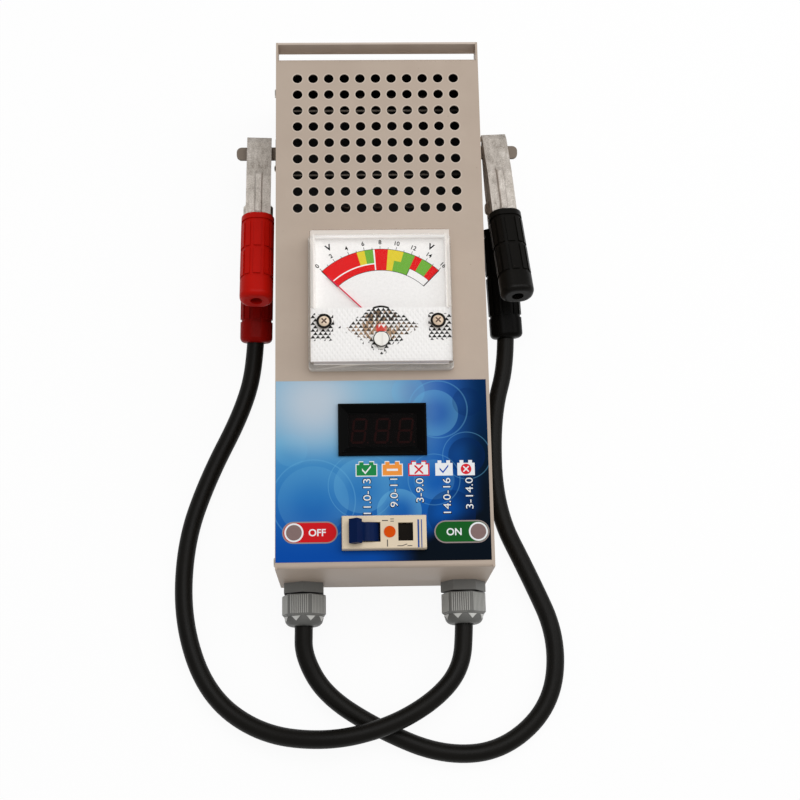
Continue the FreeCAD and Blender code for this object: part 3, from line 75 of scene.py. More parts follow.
CASE_HIGH = span("front_cover")[1]
CASE_LONG = 148.5
SHEET = 0.8
SHEET_BLUR = 0.1
VENT_RADIUS = 2.8
# Inner and outer radius of the painted highlight round each vent.
VENT_HIGHLIGHT_IN = VENT_RADIUS + 0.2
VENT_HIGHLIGHT_OUT = VENT_RADIUS + 0.8
VENT_COLUMNS = 11
VENT_ROWS = 9
VENT_PITCH_ACROSS = 9.0
VENT_PITCH_ALONG = 10.0
VENT_MIDDLE = -1.1
VENT_TOP = 136.1
VENT_ALONG = VENT_TOP - (VENT_ROWS - 1) * VENT_PITCH_ALONG / 2
VENT_MARGIN = 4.0
VENT_HALF_WIDE = (VENT_COLUMNS - 1) * VENT_PITCH_ACROSS / 2 + VENT_MARGIN
VENT_HALF_TALL = (VENT_ROWS - 1) * VENT_PITCH_ALONG / 2 + VENT_MARGIN
VENT_BLUR = 0.5

SUPPORT_LOWER = middle_along("coil_support_lower")
SUPPORT_UPPER = middle_along("coil_support_upper")
SUPPORT_MIDDLE = (SUPPORT_LOWER + SUPPORT_UPPER) / 2
SUPPORT_APART = (SUPPORT_UPPER - SUPPORT_LOWER) / 2
# Half width and fade across of the painted highlight on the board's strips.
HIGHLIGHT_HALF_WIDE = (0.3, 0.6)
HIGHLIGHT_FADE = (10, 46)

GLAND_ASIDE = 45.0
NUT_LOW, NUT_HIGH = span("gland_nut_right")
NUT_MIDDLE_UP = (NUT_LOW.z + NUT_HIGH.z) / 2
HEXAGON_END = NUT_HIGH.y - 12.0
FLANGE_END = NUT_HIGH.y + 0.8

METER_X = -0.4
COVER_LOW, COVER_HIGH = span("meter_cover")
COVER_ALONG = middle_along("meter_cover")
COVER_HALF_WIDE = (COVER_HIGH.x - COVER_LOW.x) / 2
COVER_HALF_TALL = (COVER_HIGH.y - COVER_LOW.y) / 2
COVER_DRAFT = 0.8
COVER_SHEET = 2.0
COVER_CEILING = COVER_HIGH.z - COVER_SHEET
WALL_START = COVER_CEILING - 0.4
WALL_END = COVER_CEILING - 1.4
# From where to where, inside the cover's outline, its painted white highlight band and its painted brown
# edge shade begin.
COVER_HIGHLIGHT_BAND = (-3.2, -2.7)
COVER_SHADE_EDGE = (-0.75, -0.4)
# Along the cover, the highlight band stops above the prisms, and the edge shade is darker at the lower end.
COVER_HIGHLIGHT_BAND_STOP = (-9, -7)
LOWER_SHADE_EDGE = (COVER_LOW.y + 2.2, COVER_LOW.y + 1.6)
LINER_INSET = 2.85
LINER_SKIN = (-0.1, -0.02)
SCREW_ASIDE = 31.0
SCREW_ALONG = -15.8
SCREW_PLACES = [(METER_X + side * SCREW_ASIDE, SCREW_ALONG) for side in LEFT_AND_RIGHT]
SCREW_TOP = span("meter_cover_screws")[1].z
ZERO_ALONG = -26.1
ZERO_PLACE = (METER_X, ZERO_ALONG)

# What lies behind the prisms: the round movement, the bridge across it, the needle's hub and two bosses.
DOME_ALONG = -17.5
DOME_RADII = (9.5, 12.0)
BRIDGE_ALONG = -19.0
BRIDGE_HALF_WIDE = 24.5
BRIDGE_HALF_TALL = 17.0
HUB_ALONG = -19.6
HUB_RADII = (2.2, 3.6)
BOSS_ASIDE = 32.5
BOSS_ALONG = -18.5
BOSS_HALF_WIDE = (6.0, 7.5)
BOSS_HALF_TALL = (6.5, 8.5)

FILM_LOW, FILM_HIGH = span("panel_label")
FILM_FRONT = FILM_HIGH.z
FILM_GLOW = (-37, -58)
FILM_GLOW_RADII = (2, 34)
# Across the film, light blue turns to mid blue and mid blue to a dark right edge.
MID_BLUE_START, MID_BLUE_END = -8, 40
DARK_EDGE_START, DARK_EDGE_END = 28, 55
# Lower on the film the dark edge reaches further to the left.
SLANT_START, SLANT_END = -116, -142
SLANT_SHIFT = 36
# Discs: across, along, radius, and how strongly they lighten or, below zero, darken.
FILM_DISCS = [
    (-38, -112, 19, 0.15), (-12, -104, 15, 0.26), (28, -64, 13, 0.32), (14, -52, 9, 0.24),
    (8, -118, 12, 0.42), (27, -101, 11, 0.16), (45, -88, 10, -0.5), (36, -120, 13, -0.45),
    (-50, -84, 9, 0.14), (46, -58, 8, -0.3),
]
DISC_BLUR = 0.15
# Rings: across, along, radius and half the width of the line.
FILM_RINGS = [
    (-38, -112, 22.5, 0.35), (-12, -104, 18, 0.25), (30, -62, 16, 0.35), (27, -101, 14, 0.25),
    (45, -88, 13, 0.25),
]
RING_BLUR = 0.1


# Camera and lamps

def make_camera():
    """The photograph's view, from above and a little below the middle of the panel."""
    lens = bpy.data.cameras.new("photo_view")
    lens.sensor_width = 36.0
    lens.lens = 69.18
    camera = add_object("photo_view", lens)
    camera.location = (-0.01665, -0.27329, 0.8803)
    camera.rotation_euler = [math.radians(angle) for angle in (15.003, -1.559, -1.077)]
    scene.camera = camera


def make_lamp(name, place, size, power):
    """A soft square lamp that faces the tester."""
    light = bpy.data.lights.new(name, "AREA")
    light.size = size
    light.energy = power
    lamp = add_object(name, light)
    lamp.location = place
    lamp.rotation_euler = (-Vector(place)).to_track_quat("-Z", "Y").to_euler()


make_camera()
make_lamp("key_lamp", (0.1, 0.25, 1.35), size=0.9, power=7.3)
make_lamp("fill_lamp", (0.9, 0.2, 0.9), size=0.8, power=3.6)
scene.view_settings.view_transform = "Standard"


# Node trees

class Value:
    """A socket of a node tree that can stand in a sum."""

    def __init__(self, graph, socket):
        self.graph = graph
        self.socket = socket

    def __add__(self, other):
        return self.graph.math("ADD", self, other)

    def __radd__(self, other):
        return self.graph.math("ADD", other, self)

    def __sub__(self, other):
        return self.graph.math("SUBTRACT", self, other)

    def __rsub__(self, other):
        return self.graph.math("SUBTRACT", other, self)

    def __mul__(self, other):
        return self.graph.math("MULTIPLY", self, other)

    def __rmul__(self, other):
        return self.graph.math("MULTIPLY", other, self)

    def __truediv__(self, other):
        return self.graph.math("DIVIDE", self, other)

    def __rtruediv__(self, other):
        return self.graph.math("DIVIDE", other, self)


class Graph:
    """Adds nodes to a tree and links them."""

    def __init__(self, tree):
        self.tree = tree

    def feed(self, socket, source):
        """Links a value to a socket, or sets the socket to a constant."""
        if isinstance(source, Value):
            self.tree.links.new(source.socket, socket)
        else:
            socket.default_value = source

    def node(self, kind, settings=None, inputs=None, output=0):
        """Any node, with its settings first, then the values or links of its sockets."""
        made = self.tree.nodes.new(kind)
        for name, setting in (settings or {}).items():
            if name == "stops":
                set_stops(made.color_ramp, setting)
            else:
                setattr(made, name, setting)
        for name, source in (inputs or {}).items():
            self.feed(made.inputs[name], source)
        return Value(self, made.outputs[output])

    def math(self, operation, *terms):
        return self.node("ShaderNodeMath", {"operation": operation}, dict(enumerate(terms)))

    def absolute(self, term):
        return self.math("ABSOLUTE", term)

    def larger(self, first, second):
        return self.math("MAXIMUM", first, second)

    def length(self, aside, ahead):
        """Length of a step aside and ahead."""
        return self.math("SQRT", aside * aside + ahead * ahead)


def set_stops(ramp, stops):
    """Gives a colour ramp its stops, each a position and a colour."""
    while len(ramp.elements) < len(stops):
        ramp.elements.new(1.0)
    for element, (position, colour) in zip(ramp.elements, stops):
        element.position = position
        element.color = colour


def linear(part):
    """One screen value from 0 to 1 as light."""
    return part / 12.92 if part <= 0.04045 else ((part + 0.055) / 1.055) ** 2.4


def tint(red, green, blue):
    """A colour in screen values from 0 to 255, as the linear values that a shader takes."""
    return tuple(linear(part / 255) for part in (red, green, blue)) + (1.0,)


class Finish(Graph):
    """A material with one shader and the patterns that feed it."""

    def __init__(self, name, sockets=None):
        self.material = bpy.data.materials.new(name)
        self.material.use_nodes = True
        super().__init__(self.material.node_tree)
        self.shader = self.tree.nodes["Principled BSDF"]
        self.set(sockets or {})

    def set(self, sockets):
        for name, source in sockets.items():
            self.feed(self.shader.inputs[name], source)

    def place(self):
        return self.node("ShaderNodeTexCoord", output="Object")

    def axes(self):
        """The place on the object along X, Y and Z in millimetres."""
        split = self.node("ShaderNodeSeparateXYZ", inputs={0: self.place()}).socket.node
        return [Value(self, axis) / MM for axis in split.outputs]

    def noise(self, size, detail=2.0, rough=0.5, stretch=None):
        """Soft noise whose blotches are about size millimetres across."""
        where = self.place()
        if stretch:
            where = self.node("ShaderNodeMapping", inputs={"Vector": where, "Scale": stretch})
        inputs = {"Vector": where, "Scale": 1 / (size * MM), "Detail": detail, "Roughness": rough}
        return self.node("ShaderNodeTexNoise", inputs=inputs, output="Fac")

    def cells(self, size):
        """Distance from the middle of cells that are about size millimetres across."""
        inputs = {"Vector": self.place(), "Scale": 1 / (size * MM)}
        return self.node("ShaderNodeTexVoronoi", inputs=inputs, output="Distance")

    def rise(self, source, start, end):
        """Goes smoothly from 0 at start to 1 at end."""
        inputs = {"Value": source, "From Min": start, "From Max": end}
        return self.node("ShaderNodeMapRange", {"interpolation_type": "SMOOTHSTEP"}, inputs)

    def fall(self, source, start, end):
        """Goes smoothly from 1 at start to 0 at end."""
        return 1 - self.rise(source, start, end)

    def blend(self, share, first, second):
        """From the first colour at a share of 0 to the second at 1."""
        return self.node("ShaderNodeMix", {"data_type": "RGBA"}, {0: share, 6: first, 7: second}, 2)

    def ramp(self, source, stops):
        return self.node("ShaderNodeValToRGB", {"stops": stops}, {0: source})

    def from_point(self, across, along):
        """Distance in millimetres from a point of the front, whatever the height."""
        x, y, _ = self.axes()
        return self.length(x - across, y - along)

    def past_edge(self, inset_by):
        """How far a place lies outside the meter cover's outline, drawn in by so much; below zero inside."""
        x, y, _ = self.axes()
        aside = self.absolute(x - METER_X) - (COVER_HALF_WIDE - inset_by)
        ahead = self.absolute(y - COVER_ALONG) - (COVER_HALF_TALL - inset_by)
        return self.larger(aside, ahead)

    def bump(self, height, depth, strength=1.0):
        """Relief of that depth in millimetres."""
        inputs = {"Height": height, "Distance": depth * MM, "Strength": strength}
        self.set({"Normal": self.node("ShaderNodeBump", inputs=inputs)})


# Finishes

def enamel():
    """Beige enamel on sheet steel with orange peel, mottling and specks, a painted highlight round the vents
    and painted shade inside.
    """
    coat = Finish("case_enamel", {"Specular IOR Level": 0.3})
    x, y, z = coat.axes()
    mottle = coat.noise(22, detail=4.0)
    speck = coat.rise(coat.cells(5.5), 0.075, 0.035) * coat.rise(coat.noise(9), 0.5, 0.6)
    colour = coat.blend(mottle, tint(169, 152, 137), tint(183, 167, 152))
    colour = coat.blend(speck * 0.45, colour, tint(120, 104, 90))
    # Painted highlight: a pale ring round each vent on the front face, only over the vent field.
    aside = coat.math("PINGPONG", x - VENT_MIDDLE, VENT_PITCH_ACROSS / 2)
    ahead = coat.math("PINGPONG", y - VENT_TOP, VENT_PITCH_ALONG / 2)
    rim = coat.fall(coat.length(aside, ahead), VENT_HIGHLIGHT_IN, VENT_HIGHLIGHT_OUT)
    rim = rim * coat.rise(z, CASE_HIGH.z - 1, CASE_HIGH.z)
    rim = rim * coat.fall(coat.absolute(x - VENT_MIDDLE), VENT_HALF_WIDE, VENT_HALF_WIDE + VENT_BLUR)
    rim = rim * coat.fall(coat.absolute(y - VENT_ALONG), VENT_HALF_TALL, VENT_HALF_TALL + VENT_BLUR)
    colour = coat.blend(rim * 0.5, colour, tint(214, 200, 186))
    # Painted shade: the inner faces of the case turn near black.
    skin = SHEET - SHEET_BLUR
    deep = SHEET + SHEET_BLUR
    inside = coat.rise(coat.absolute(x), CASE_HIGH.x - skin, CASE_HIGH.x - deep)
    inside = inside * coat.rise(coat.absolute(y), CASE_LONG - skin, CASE_LONG - deep)
    inside = inside * coat.rise(z, skin, deep) * coat.rise(z, CASE_HIGH.z - skin, CASE_HIGH.z - deep)
    coat.set({
        "Base Color": coat.blend(inside, colour, tint(30, 28, 26)),
        "Roughness": 0.4 + mottle * 0.18,
    })
    coat.bump(coat.noise(0.9, detail=1.0), 0.03, 0.5)
    return coat.material


def galvanised():
    """Zinc-coated pressed steel with a fine frosted grain and dull patches."""
    zinc = Finish("galvanised_zinc", {"Metallic": 0.45})
    grain = zinc.noise(0.7, detail=4.0, rough=0.7)
    streak = zinc.noise(2.2, detail=4.0, rough=0.6, stretch=(1.0, 0.3, 1.0))
    patch = zinc.noise(9, detail=4.0)
    shade = grain * 0.45 + streak * 0.3 + patch * 0.25
    zinc.set({
        "Base Color": zinc.ramp(shade, [
            (0.36, tint(112, 104, 96)), (0.46, tint(172, 164, 155)),
            (0.56, tint(198, 191, 183)), (0.66, tint(232, 227, 220)),
        ]),
        "Roughness": 0.4 + patch * 0.2,
    })
    zinc.bump(grain, 0.06, 0.6)
    return zinc.material


def plated():
    """Bright plating on screws, rivets and pins, with fine scratches."""
    bright = Finish("bright_plating", {"Metallic": 1.0})
    scratch = bright.noise(0.8, detail=4.0, stretch=(1.0, 6.0, 1.0))
    bright.set({
        "Base Color": bright.blend(scratch, tint(178, 170, 160), tint(214, 208, 199)),
        "Roughness": 0.2 + scratch * 0.2,
    })
    return bright.material


def moulded(name, colour, shade, roughness=0.4, grain=0.5, depth=0.015, gloss=0.15):
    """Moulded plastic: two close tones in soft clouds and a fine grain."""
    plastic = Finish(name, {"Specular IOR Level": gloss})
    cloud = plastic.noise(11, detail=3.0)
    grit = plastic.noise(grain, detail=2.0)
    plastic.set({
        "Base Color": plastic.blend(cloud, colour, shade),
        "Roughness": roughness + grit * 0.14 - 0.07,
    })
    plastic.bump(grit, depth, 0.6)
    return plastic.material


def vinyl(name, colour, shade, roughness, gloss):
    """Soft vinyl of the clamps' sleeves, with a coarser grain."""
    return moulded(name, colour, shade, roughness, grain=0.7, depth=0.03, gloss=gloss)


def stoved(name, colour, shade, roughness):
    """Plain enamel of the small sheet parts."""
    return moulded(name, colour, shade, roughness, grain=0.9, depth=0.03)


def gland_nylon():
    """Grey moulded nylon, with painted shade on the dome of the nut and black painted shade in the gap under
    the flange.
    """
    nylon = Finish("gland_nylon", {"Specular IOR Level": 0.2})
    _, y, _ = nylon.axes()
    cloud = nylon.noise(11, detail=3.0)
    grit = nylon.noise(0.5)
    # Painted shade: darker on the dome of the nut, and black in the gap between the flange and the nut.
    dome = nylon.rise(y, HEXAGON_END + 0.5, HEXAGON_END - 1.0)
    gap = nylon.rise(y, FLANGE_END + 0.1, FLANGE_END + 0.02) * nylon.rise(y, NUT_HIGH.y, NUT_HIGH.y + 0.2)
    colour = nylon.blend(cloud, tint(114, 114, 111), tint(124, 124, 121))
    colour = nylon.blend(dome * 0.6, colour, tint(88, 88, 86))
    nylon.set({
        "Base Color": nylon.blend(gap, colour, tint(6, 6, 6)),
        "Roughness": 0.35 + grit * 0.14,
    })
    nylon.bump(grit, 0.015, 0.6)
    return nylon.material


def ink(name, colour, roughness=0.35):
    """Printing ink with the faint unevenness of a screen print."""
    print_ink = Finish(name, {"Specular IOR Level": 0.05})
    uneven = print_ink.noise(1.6, detail=3.0)
    deeper = tuple(part * 0.86 for part in colour[:3]) + (1.0,)
    print_ink.set({
        "Base Color": print_ink.blend(uneven, deeper, colour),
        "Roughness": roughness + uneven * 0.1,
    })
    return print_ink.material


def film_print():
    """Blue print of the panel film: a light top left corner, a dark right edge, and soft discs and rings."""
    sheet = Finish("film_print", {"Specular IOR Level": 0.01})
    x, y, _ = sheet.axes()
    down = sheet.rise(y, FILM_HIGH.y, FILM_LOW.y)
    left = sheet.ramp(down, [
        (0.0, tint(132, 176, 203)), (0.28, tint(104, 164, 200)), (0.46, tint(64, 134, 189)),
        (0.72, tint(42, 114, 181)), (1.0, tint(8, 72, 160)),
    ])
    right = sheet.ramp(down, [
        (0.0, tint(2, 38, 80)), (0.35, tint(3, 26, 48)), (0.7, tint(7, 18, 30)), (1.0, tint(7, 16, 26)),
    ])
    mid = sheet.rise(x, MID_BLUE_START, MID_BLUE_END)
    colour = sheet.blend(mid * 0.92, left, tint(6, 78, 164))
    slanted = x + sheet.rise(y, SLANT_START, SLANT_END) * SLANT_SHIFT
    colour = sheet.blend(sheet.rise(slanted, DARK_EDGE_START, DARK_EDGE_END), colour, right)
    light = tint(104, 176, 216)
    dark = tint(2, 34, 84)
    for across, along, radius, share in FILM_DISCS:
        off = sheet.from_point(across, along)
        disc = sheet.fall(off, radius - DISC_BLUR, radius + DISC_BLUR)
        shading = sheet.rise(off, radius * 0.2, radius)
        colour = sheet.blend(disc * shading * abs(share), colour, light if share > 0 else dark)
    for across, along, radius, half_wide in FILM_RINGS:
        off = sheet.absolute(sheet.from_point(across, along) - radius)
        line = sheet.fall(off, half_wide - RING_BLUR, half_wide + RING_BLUR)
        colour = sheet.blend(line * 0.26, colour, light)
    glow = sheet.fall(sheet.from_point(*FILM_GLOW), *FILM_GLOW_RADII)
    grain = sheet.noise(0.5)
    sheet.set({
        "Base Color": sheet.blend(glow * 0.6, colour, tint(206, 205, 208)),
        "Roughness": 0.26 + grain * 0.12,
    })
    sheet.bump(grain, 0.01, 0.3)
    return sheet.material


def clear_cover():
    """Clear moulded plastic: the front nearly gone, a painted white highlight band and painted brown shade
    round its edge, the walls milky.
    """
    clear = Finish("clear_moulding", {"IOR": 1.49, "Specular IOR Level": 0.3})
    _, y, z = clear.axes()
    haze = clear.noise(9, detail=3.0)
    wall = clear.rise(z, WALL_START, WALL_END)
    outline = clear.past_edge(COVER_DRAFT)
    # Painted highlight: a white band just inside the outline.
    painted_highlight_band = clear.rise(outline, *COVER_HIGHLIGHT_BAND) * clear.rise(y, *COVER_HIGHLIGHT_BAND_STOP) * (1 - wall)
    # Painted shade: a brown edge, darker at the lower end.
    edge = clear.rise(outline, *COVER_SHADE_EDGE) * (1 - wall)
    brown = clear.blend(clear.rise(y, *LOWER_SHADE_EDGE), tint(162, 144, 128), tint(92, 62, 36))
    clear.set({
        "Base Color": clear.blend(edge, tint(240, 234, 228), brown),
        "Alpha": 0.004 + wall * 0.05 + painted_highlight_band * 0.5 + edge * (1 - painted_highlight_band) * 0.6 + haze * 0.004,
        "Roughness": 0.05 + haze * 0.06,
    })
    return clear.material


def prism_facets():
    """Faceted inside of the cover: white, with dark checks where the movement and bosses lie behind, a
    painted refraction of them.
    """
    facet = Finish("prism_facets", {"Specular IOR Level": 0.2, "Roughness": 0.3})
    x, y, _ = facet.axes()
    own = facet.node("ShaderNodeAttribute", {"attribute_name": "facet"}, output="Fac")
    aside = facet.absolute(x - METER_X)
    dome = facet.fall(facet.from_point(METER_X, DOME_ALONG), *DOME_RADII)
    reach = aside / BRIDGE_HALF_WIDE + facet.absolute(y - BRIDGE_ALONG) / BRIDGE_HALF_TALL
    bridge = facet.fall(reach, 0.62, 1.05)
    boss = facet.fall(facet.absolute(aside - BOSS_ASIDE), *BOSS_HALF_WIDE)
    boss = boss * facet.fall(facet.absolute(y - BOSS_ALONG), *BOSS_HALF_TALL)
    depth = facet.larger(facet.larger(dome, bridge * 0.6), boss * 0.5)
    # Painted refraction: facets turn dark where the movement, its hub and the bosses lie behind.
    painted_refraction_checks = facet.rise(own + depth * 0.9, 1.02, 1.08)
    shade = facet.larger(boss, facet.rise(y, DOME_ALONG, DOME_ALONG + 4))
    shade = facet.larger(shade, facet.rise(y, ZERO_ALONG + 3, ZERO_ALONG - 3))
    tone = facet.ramp(own + shade * 0.45, [
        (0.55, tint(176, 144, 114)), (0.8, tint(92, 76, 62)), (1.0, tint(14, 13, 12)),
    ])
    hub = facet.fall(facet.from_point(METER_X, HUB_ALONG), *HUB_RADII)
    tone = facet.blend(hub * 0.85, tone, tint(216, 38, 34))
    facet.set({
        "Base Color": facet.blend(painted_refraction_checks, tint(252, 250, 248), tone),
        "Alpha": 0.86 + painted_refraction_checks * 0.14,
    })
    return facet.material


def lit_lining():
    """White lining that glows as painted light, more on its outer side, standing in for light taken up from
    the clear walls.
    """
    sockets = {"Specular IOR Level": 0.1, "Emission Strength": 0.45, "Roughness": 0.5}
    lining = Finish("lit_lining", sockets)
    cloud = lining.noise(6, detail=3.0)
    outer = lining.rise(lining.past_edge(LINER_INSET), *LINER_SKIN)
    # Painted light: the lining glows, more on its outer side.
    lining.set({
        "Base Color": lining.blend(cloud, tint(240, 238, 235), tint(248, 246, 243)),
        "Emission Color": lining.blend(outer, tint(184, 181, 178), tint(240, 234, 234)),
    })
    return lining.material


def smoked_lens():
    """Dark filter in front of the digits."""
    lens = Finish("smoked_lens", {"Base Color": tint(7, 4, 4), "Alpha": 0.5, "Specular IOR Level": 0.02})
    lens.set({"Roughness": 0.12 + lens.noise(4, detail=3.0) * 0.1})
    return lens.material


def oxidised_wire():
    """Resistance wire, blued and browned by heat."""
    wire = Finish("oxidised_wire", {"Metallic": 0.7})
    heat = wire.noise(14, detail=4.0)
    wire.set({
        "Base Color": wire.ramp(heat, [
            (0.3, tint(58, 52, 52)), (0.5, tint(84, 70, 58)), (0.7, tint(60, 62, 74)),
        ]),
        "Roughness": 0.4 + heat * 0.25,
    })
    return wire.material


def insulator():
    """Dark insulating board with a painted highlight along the middle of each strip, weaker to the right."""
    board = Finish("mica_board", {"Specular IOR Level": 0.1})
    x, y, _ = board.axes()
    mottle_and_sheen = board.noise(3, detail=3.0)
    edge = board.absolute(board.absolute(y - SUPPORT_MIDDLE) - SUPPORT_APART)
    # Painted highlight along the middle of each strip, weaker to the right; the noise also mottles the dark
    # board.
    pale = board.fall(edge, *HIGHLIGHT_HALF_WIDE) * (1 - board.rise(x, *HIGHLIGHT_FADE) * 0.9) * (0.35 + mottle_and_sheen)
    dark = board.blend(mottle_and_sheen, tint(30, 27, 24), tint(46, 41, 36))
    board.set({
        "Base Color": board.blend(pale, dark, tint(168, 156, 142)),
        "Roughness": 0.5 + mottle_and_sheen * 0.2,
    })
    return board.material


def dark_iron():
    """Blackened iron of the meter's movement."""
    iron = Finish("dark_iron", {"Metallic": 0.4})
    patch = iron.noise(5, detail=4.0)
    iron.set({
        "Base Color": iron.blend(patch, tint(26, 25, 24), tint(48, 45, 42)),
        "Roughness": 0.35 + patch * 0.2,
    })
    return iron.material


def brass():
    """Stained brass of the terminals."""
    metal = Finish("brass_metal", {"Metallic": 1.0})
    stain = metal.noise(6, detail=4.0)
    metal.set({
        "Base Color": metal.blend(stain, tint(190, 152, 84), tint(156, 120, 66)),
        "Roughness": 0.25 + stain * 0.25,
    })
    return metal.material


def cable_rubber():
    """Black rubber jacket with a dull bloom and fine grain."""
    rubber = Finish("cable_rubber", {"Specular IOR Level": 0.12})
    bloom = rubber.noise(16, detail=4.0)
    grain = rubber.noise(0.7, detail=2.0)
    rubber.set({
        "Base Color": rubber.blend(bloom, tint(10, 9, 7), tint(20, 18, 15)),
        "Roughness": 0.36 + bloom * 0.16,
    })
    rubber.bump(grain, 0.03, 0.4)
    return rubber.material


def studio_floor():
    """White floor that also looks white in reflections and keeps a faint shadow."""
    paper = Finish("studio_floor", {"Roughness": 0.9})
    cloud = paper.noise(60, detail=3.0)
    paper.set({"Base Color": paper.blend(cloud, tint(244, 244, 244), tint(248, 248, 248))})
    ray = paper.node("ShaderNodeLightPath").socket.node.outputs
    seen = paper.larger(Value(paper, ray["Is Camera Ray"]), Value(paper, ray["Is Glossy Ray"]))
    seen = paper.larger(seen, Value(paper, ray["Is Transmission Ray"]))
    white = paper.node("ShaderNodeEmission", inputs={"Color": (1, 1, 1, 1), "Strength": 1.0})
    surface = Value(paper, paper.shader.outputs[0])
    shown = paper.node("ShaderNodeMixShader", inputs={0: seen * 0.93, 1: surface, 2: white})
    paper.feed(paper.tree.nodes["Material Output"].inputs["Surface"], shown)
    return paper.material


# Cords

CABLE_DIAMETER = 10.2
RIGHT_ROUTE = [
    (45, -140, 13), (45, -156, 13), (45.1, -172, 13), (43, -196.5, 14.5), (28, -214, 16),
    (2, -228.5, 17), (-31.5, -236, 17), (-69.5, -231, 9.4), (-99.5, -208.5, 5.3), (-114, -168, 5.3),
    (-113, -122.5, 5.3), (-100.5, -85, 5.3), (-80.5, -44.5, 5.3), (-73.1, -15.2, 7), (-72.4, 15.1, 13.1),
]
LEFT_ROUTE = [
    (-45, -140, 13), (-45, -156, 13), (-45.1, -172, 13), (-45.5, -188.5, 11.3), (-33.5, -210, 8),
    (-5, -228.5, 5.4), (31, -244, 5.3), (65.5, -242, 5.3), (93.5, -217.5, 5.3), (98.5, -180, 5.3),
    (83.5, -144, 5.3), (65.5, -105.5, 5.3), (65.5, -50, 5.3), (76.2, -14, 7), (74.4, 16.3, 13.1),
]


def make_cable(side, route, material):
    """A cable from its gland to its clamp, as one smooth spline."""
    curve = bpy.data.curves.new(f"cable_{side}_jacket", "CURVE")
    curve.dimensions = "3D"
    curve.bevel_depth = CABLE_DIAMETER / 2 * MM
    curve.bevel_resolution = 6
    curve.resolution_u = 10
    curve.use_fill_caps = True
    spline = curve.splines.new("NURBS")
    spline.points.add(len(route) - 1)
    for point, place in zip(spline.points, route):
        point.co = (*(Vector(place) * MM), 1.0)
    spline.order_u = 3
    spline.use_endpoint_u = True
    curve.materials.append(material)
    cable = add_object(f"cable_{side}_jacket", curve)
    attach(cable, "tester")
    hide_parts(f"cable_{side}")


jacket = cable_rubber()
make_cable("right", RIGHT_ROUTE, jacket)
make_cable("left", LEFT_ROUTE, jacket)


# World and floor

FLOOR_HALF_METRES = 4.0
FLOOR_DROP = 0.3


def make_world():
    """Even white light from all round."""
    world = bpy.data.worlds.new("studio")
    world.use_nodes = True
    background = world.node_tree.nodes["Background"]
    background.inputs["Color"].default_value = (1.0, 1.0, 1.0, 1.0)
    background.inputs["Strength"].default_value = 0.5
    scene.world = world


def make_floor():
    """A large sheet just under the tester."""
    sheet = bmesh.new()
    bmesh.ops.create_grid(sheet, x_segments=1, y_segments=1, size=FLOOR_HALF_METRES)
    mesh = bpy.data.meshes.new("floor")
    sheet.to_mesh(mesh)
    sheet.free()
    mesh.transform(Matrix.Translation((0, 0, -FLOOR_DROP * MM)))
    mesh.materials.append(studio_floor())
    add_object("floor", mesh)


make_world()
make_floor()


# Finishes of the solids

SIDES = ("left", "right")
CLAMPS = ("red", "black")


def dress(material, *names):
    """Gives solids their finish."""
    for name in names:
        mesh = nodes[name].data
        mesh.materials.clear()
        mesh.materials.append(material)


def both(pattern, sides):
    """The names of a pair of solids."""
    return [pattern.format(side) for side in sides]


case_enamel = enamel()
zinc = galvanised()
plating = plated()
grey_nylon_and_shade = gland_nylon()
# The nuts' ribs and facets take lighter copies of the gland's nylon as painted highlights.
lit_rib_nylon = moulded("gland_rib", tint(174, 174, 170), tint(186, 186, 182), 0.4, gloss=0.2)
lit_facet_nylon = moulded("gland_facet", tint(196, 196, 192), tint(212, 212, 208), 0.3, gloss=0.4)
red_vinyl = vinyl("red_vinyl", tint(172, 14, 6), tint(184, 20, 10), 0.36, 0.07)
black_vinyl = vinyl("black_vinyl", tint(10, 9, 7), tint(16, 14, 11), 0.34, 0.1)
# The lower sleeves take darker copies of the sleeves' vinyl as painted shade.
deep_red_vinyl = vinyl("deep_red_vinyl", tint(132, 8, 3), tint(142, 12, 6), 0.36, 0.05)
deep_black_vinyl = vinyl("deep_black_vinyl", tint(6, 6, 5), tint(9, 8, 7), 0.34, 0.05)
black_plastic = moulded("black_plastic", tint(6, 6, 6), tint(10, 10, 10), 0.34, gloss=0.02)
white_plastic = moulded("white_plastic", tint(240, 238, 232), tint(230, 227, 220), 0.32)
pale_plastic = moulded("pale_plastic", tint(226, 220, 212), tint(212, 205, 196), 0.3)
cream_plastic = moulded("cream_plastic", tint(223, 206, 180), tint(212, 195, 169), 0.42)
blue_plastic = moulded("blue_plastic", tint(6, 24, 62), tint(9, 31, 75), 0.3, gloss=0.04)
orange_plastic = moulded("orange_plastic", tint(216, 80, 1), tint(202, 70, 1), 0.38, gloss=0.03)
dark_plastic = moulded("window_plastic", tint(8, 6, 4), tint(28, 22, 16), 0.25, gloss=0.02)
# Near black for the rings of painted shade round the screws and for the dark arc over the movement.
dark_edge_and_well_shade = moulded("screw_well", tint(12, 10, 8), tint(26, 22, 18), 0.3, gloss=0.05)
recess_brown = moulded("recess_brown", tint(66, 44, 30), tint(96, 68, 46), 0.35)
mica = insulator()
laminate = moulded("board_laminate", tint(28, 82, 52), tint(36, 96, 62), 0.4)
seal_rubber = moulded("seal_rubber", tint(22, 22, 22), tint(34, 34, 34), 0.6)
lead_vinyl = moulded("lead_vinyl", tint(20, 20, 20), tint(30, 30, 30), 0.4)
strap_enamel = stoved("strap_enamel", tint(186, 171, 158), tint(200, 187, 175), 0.45)
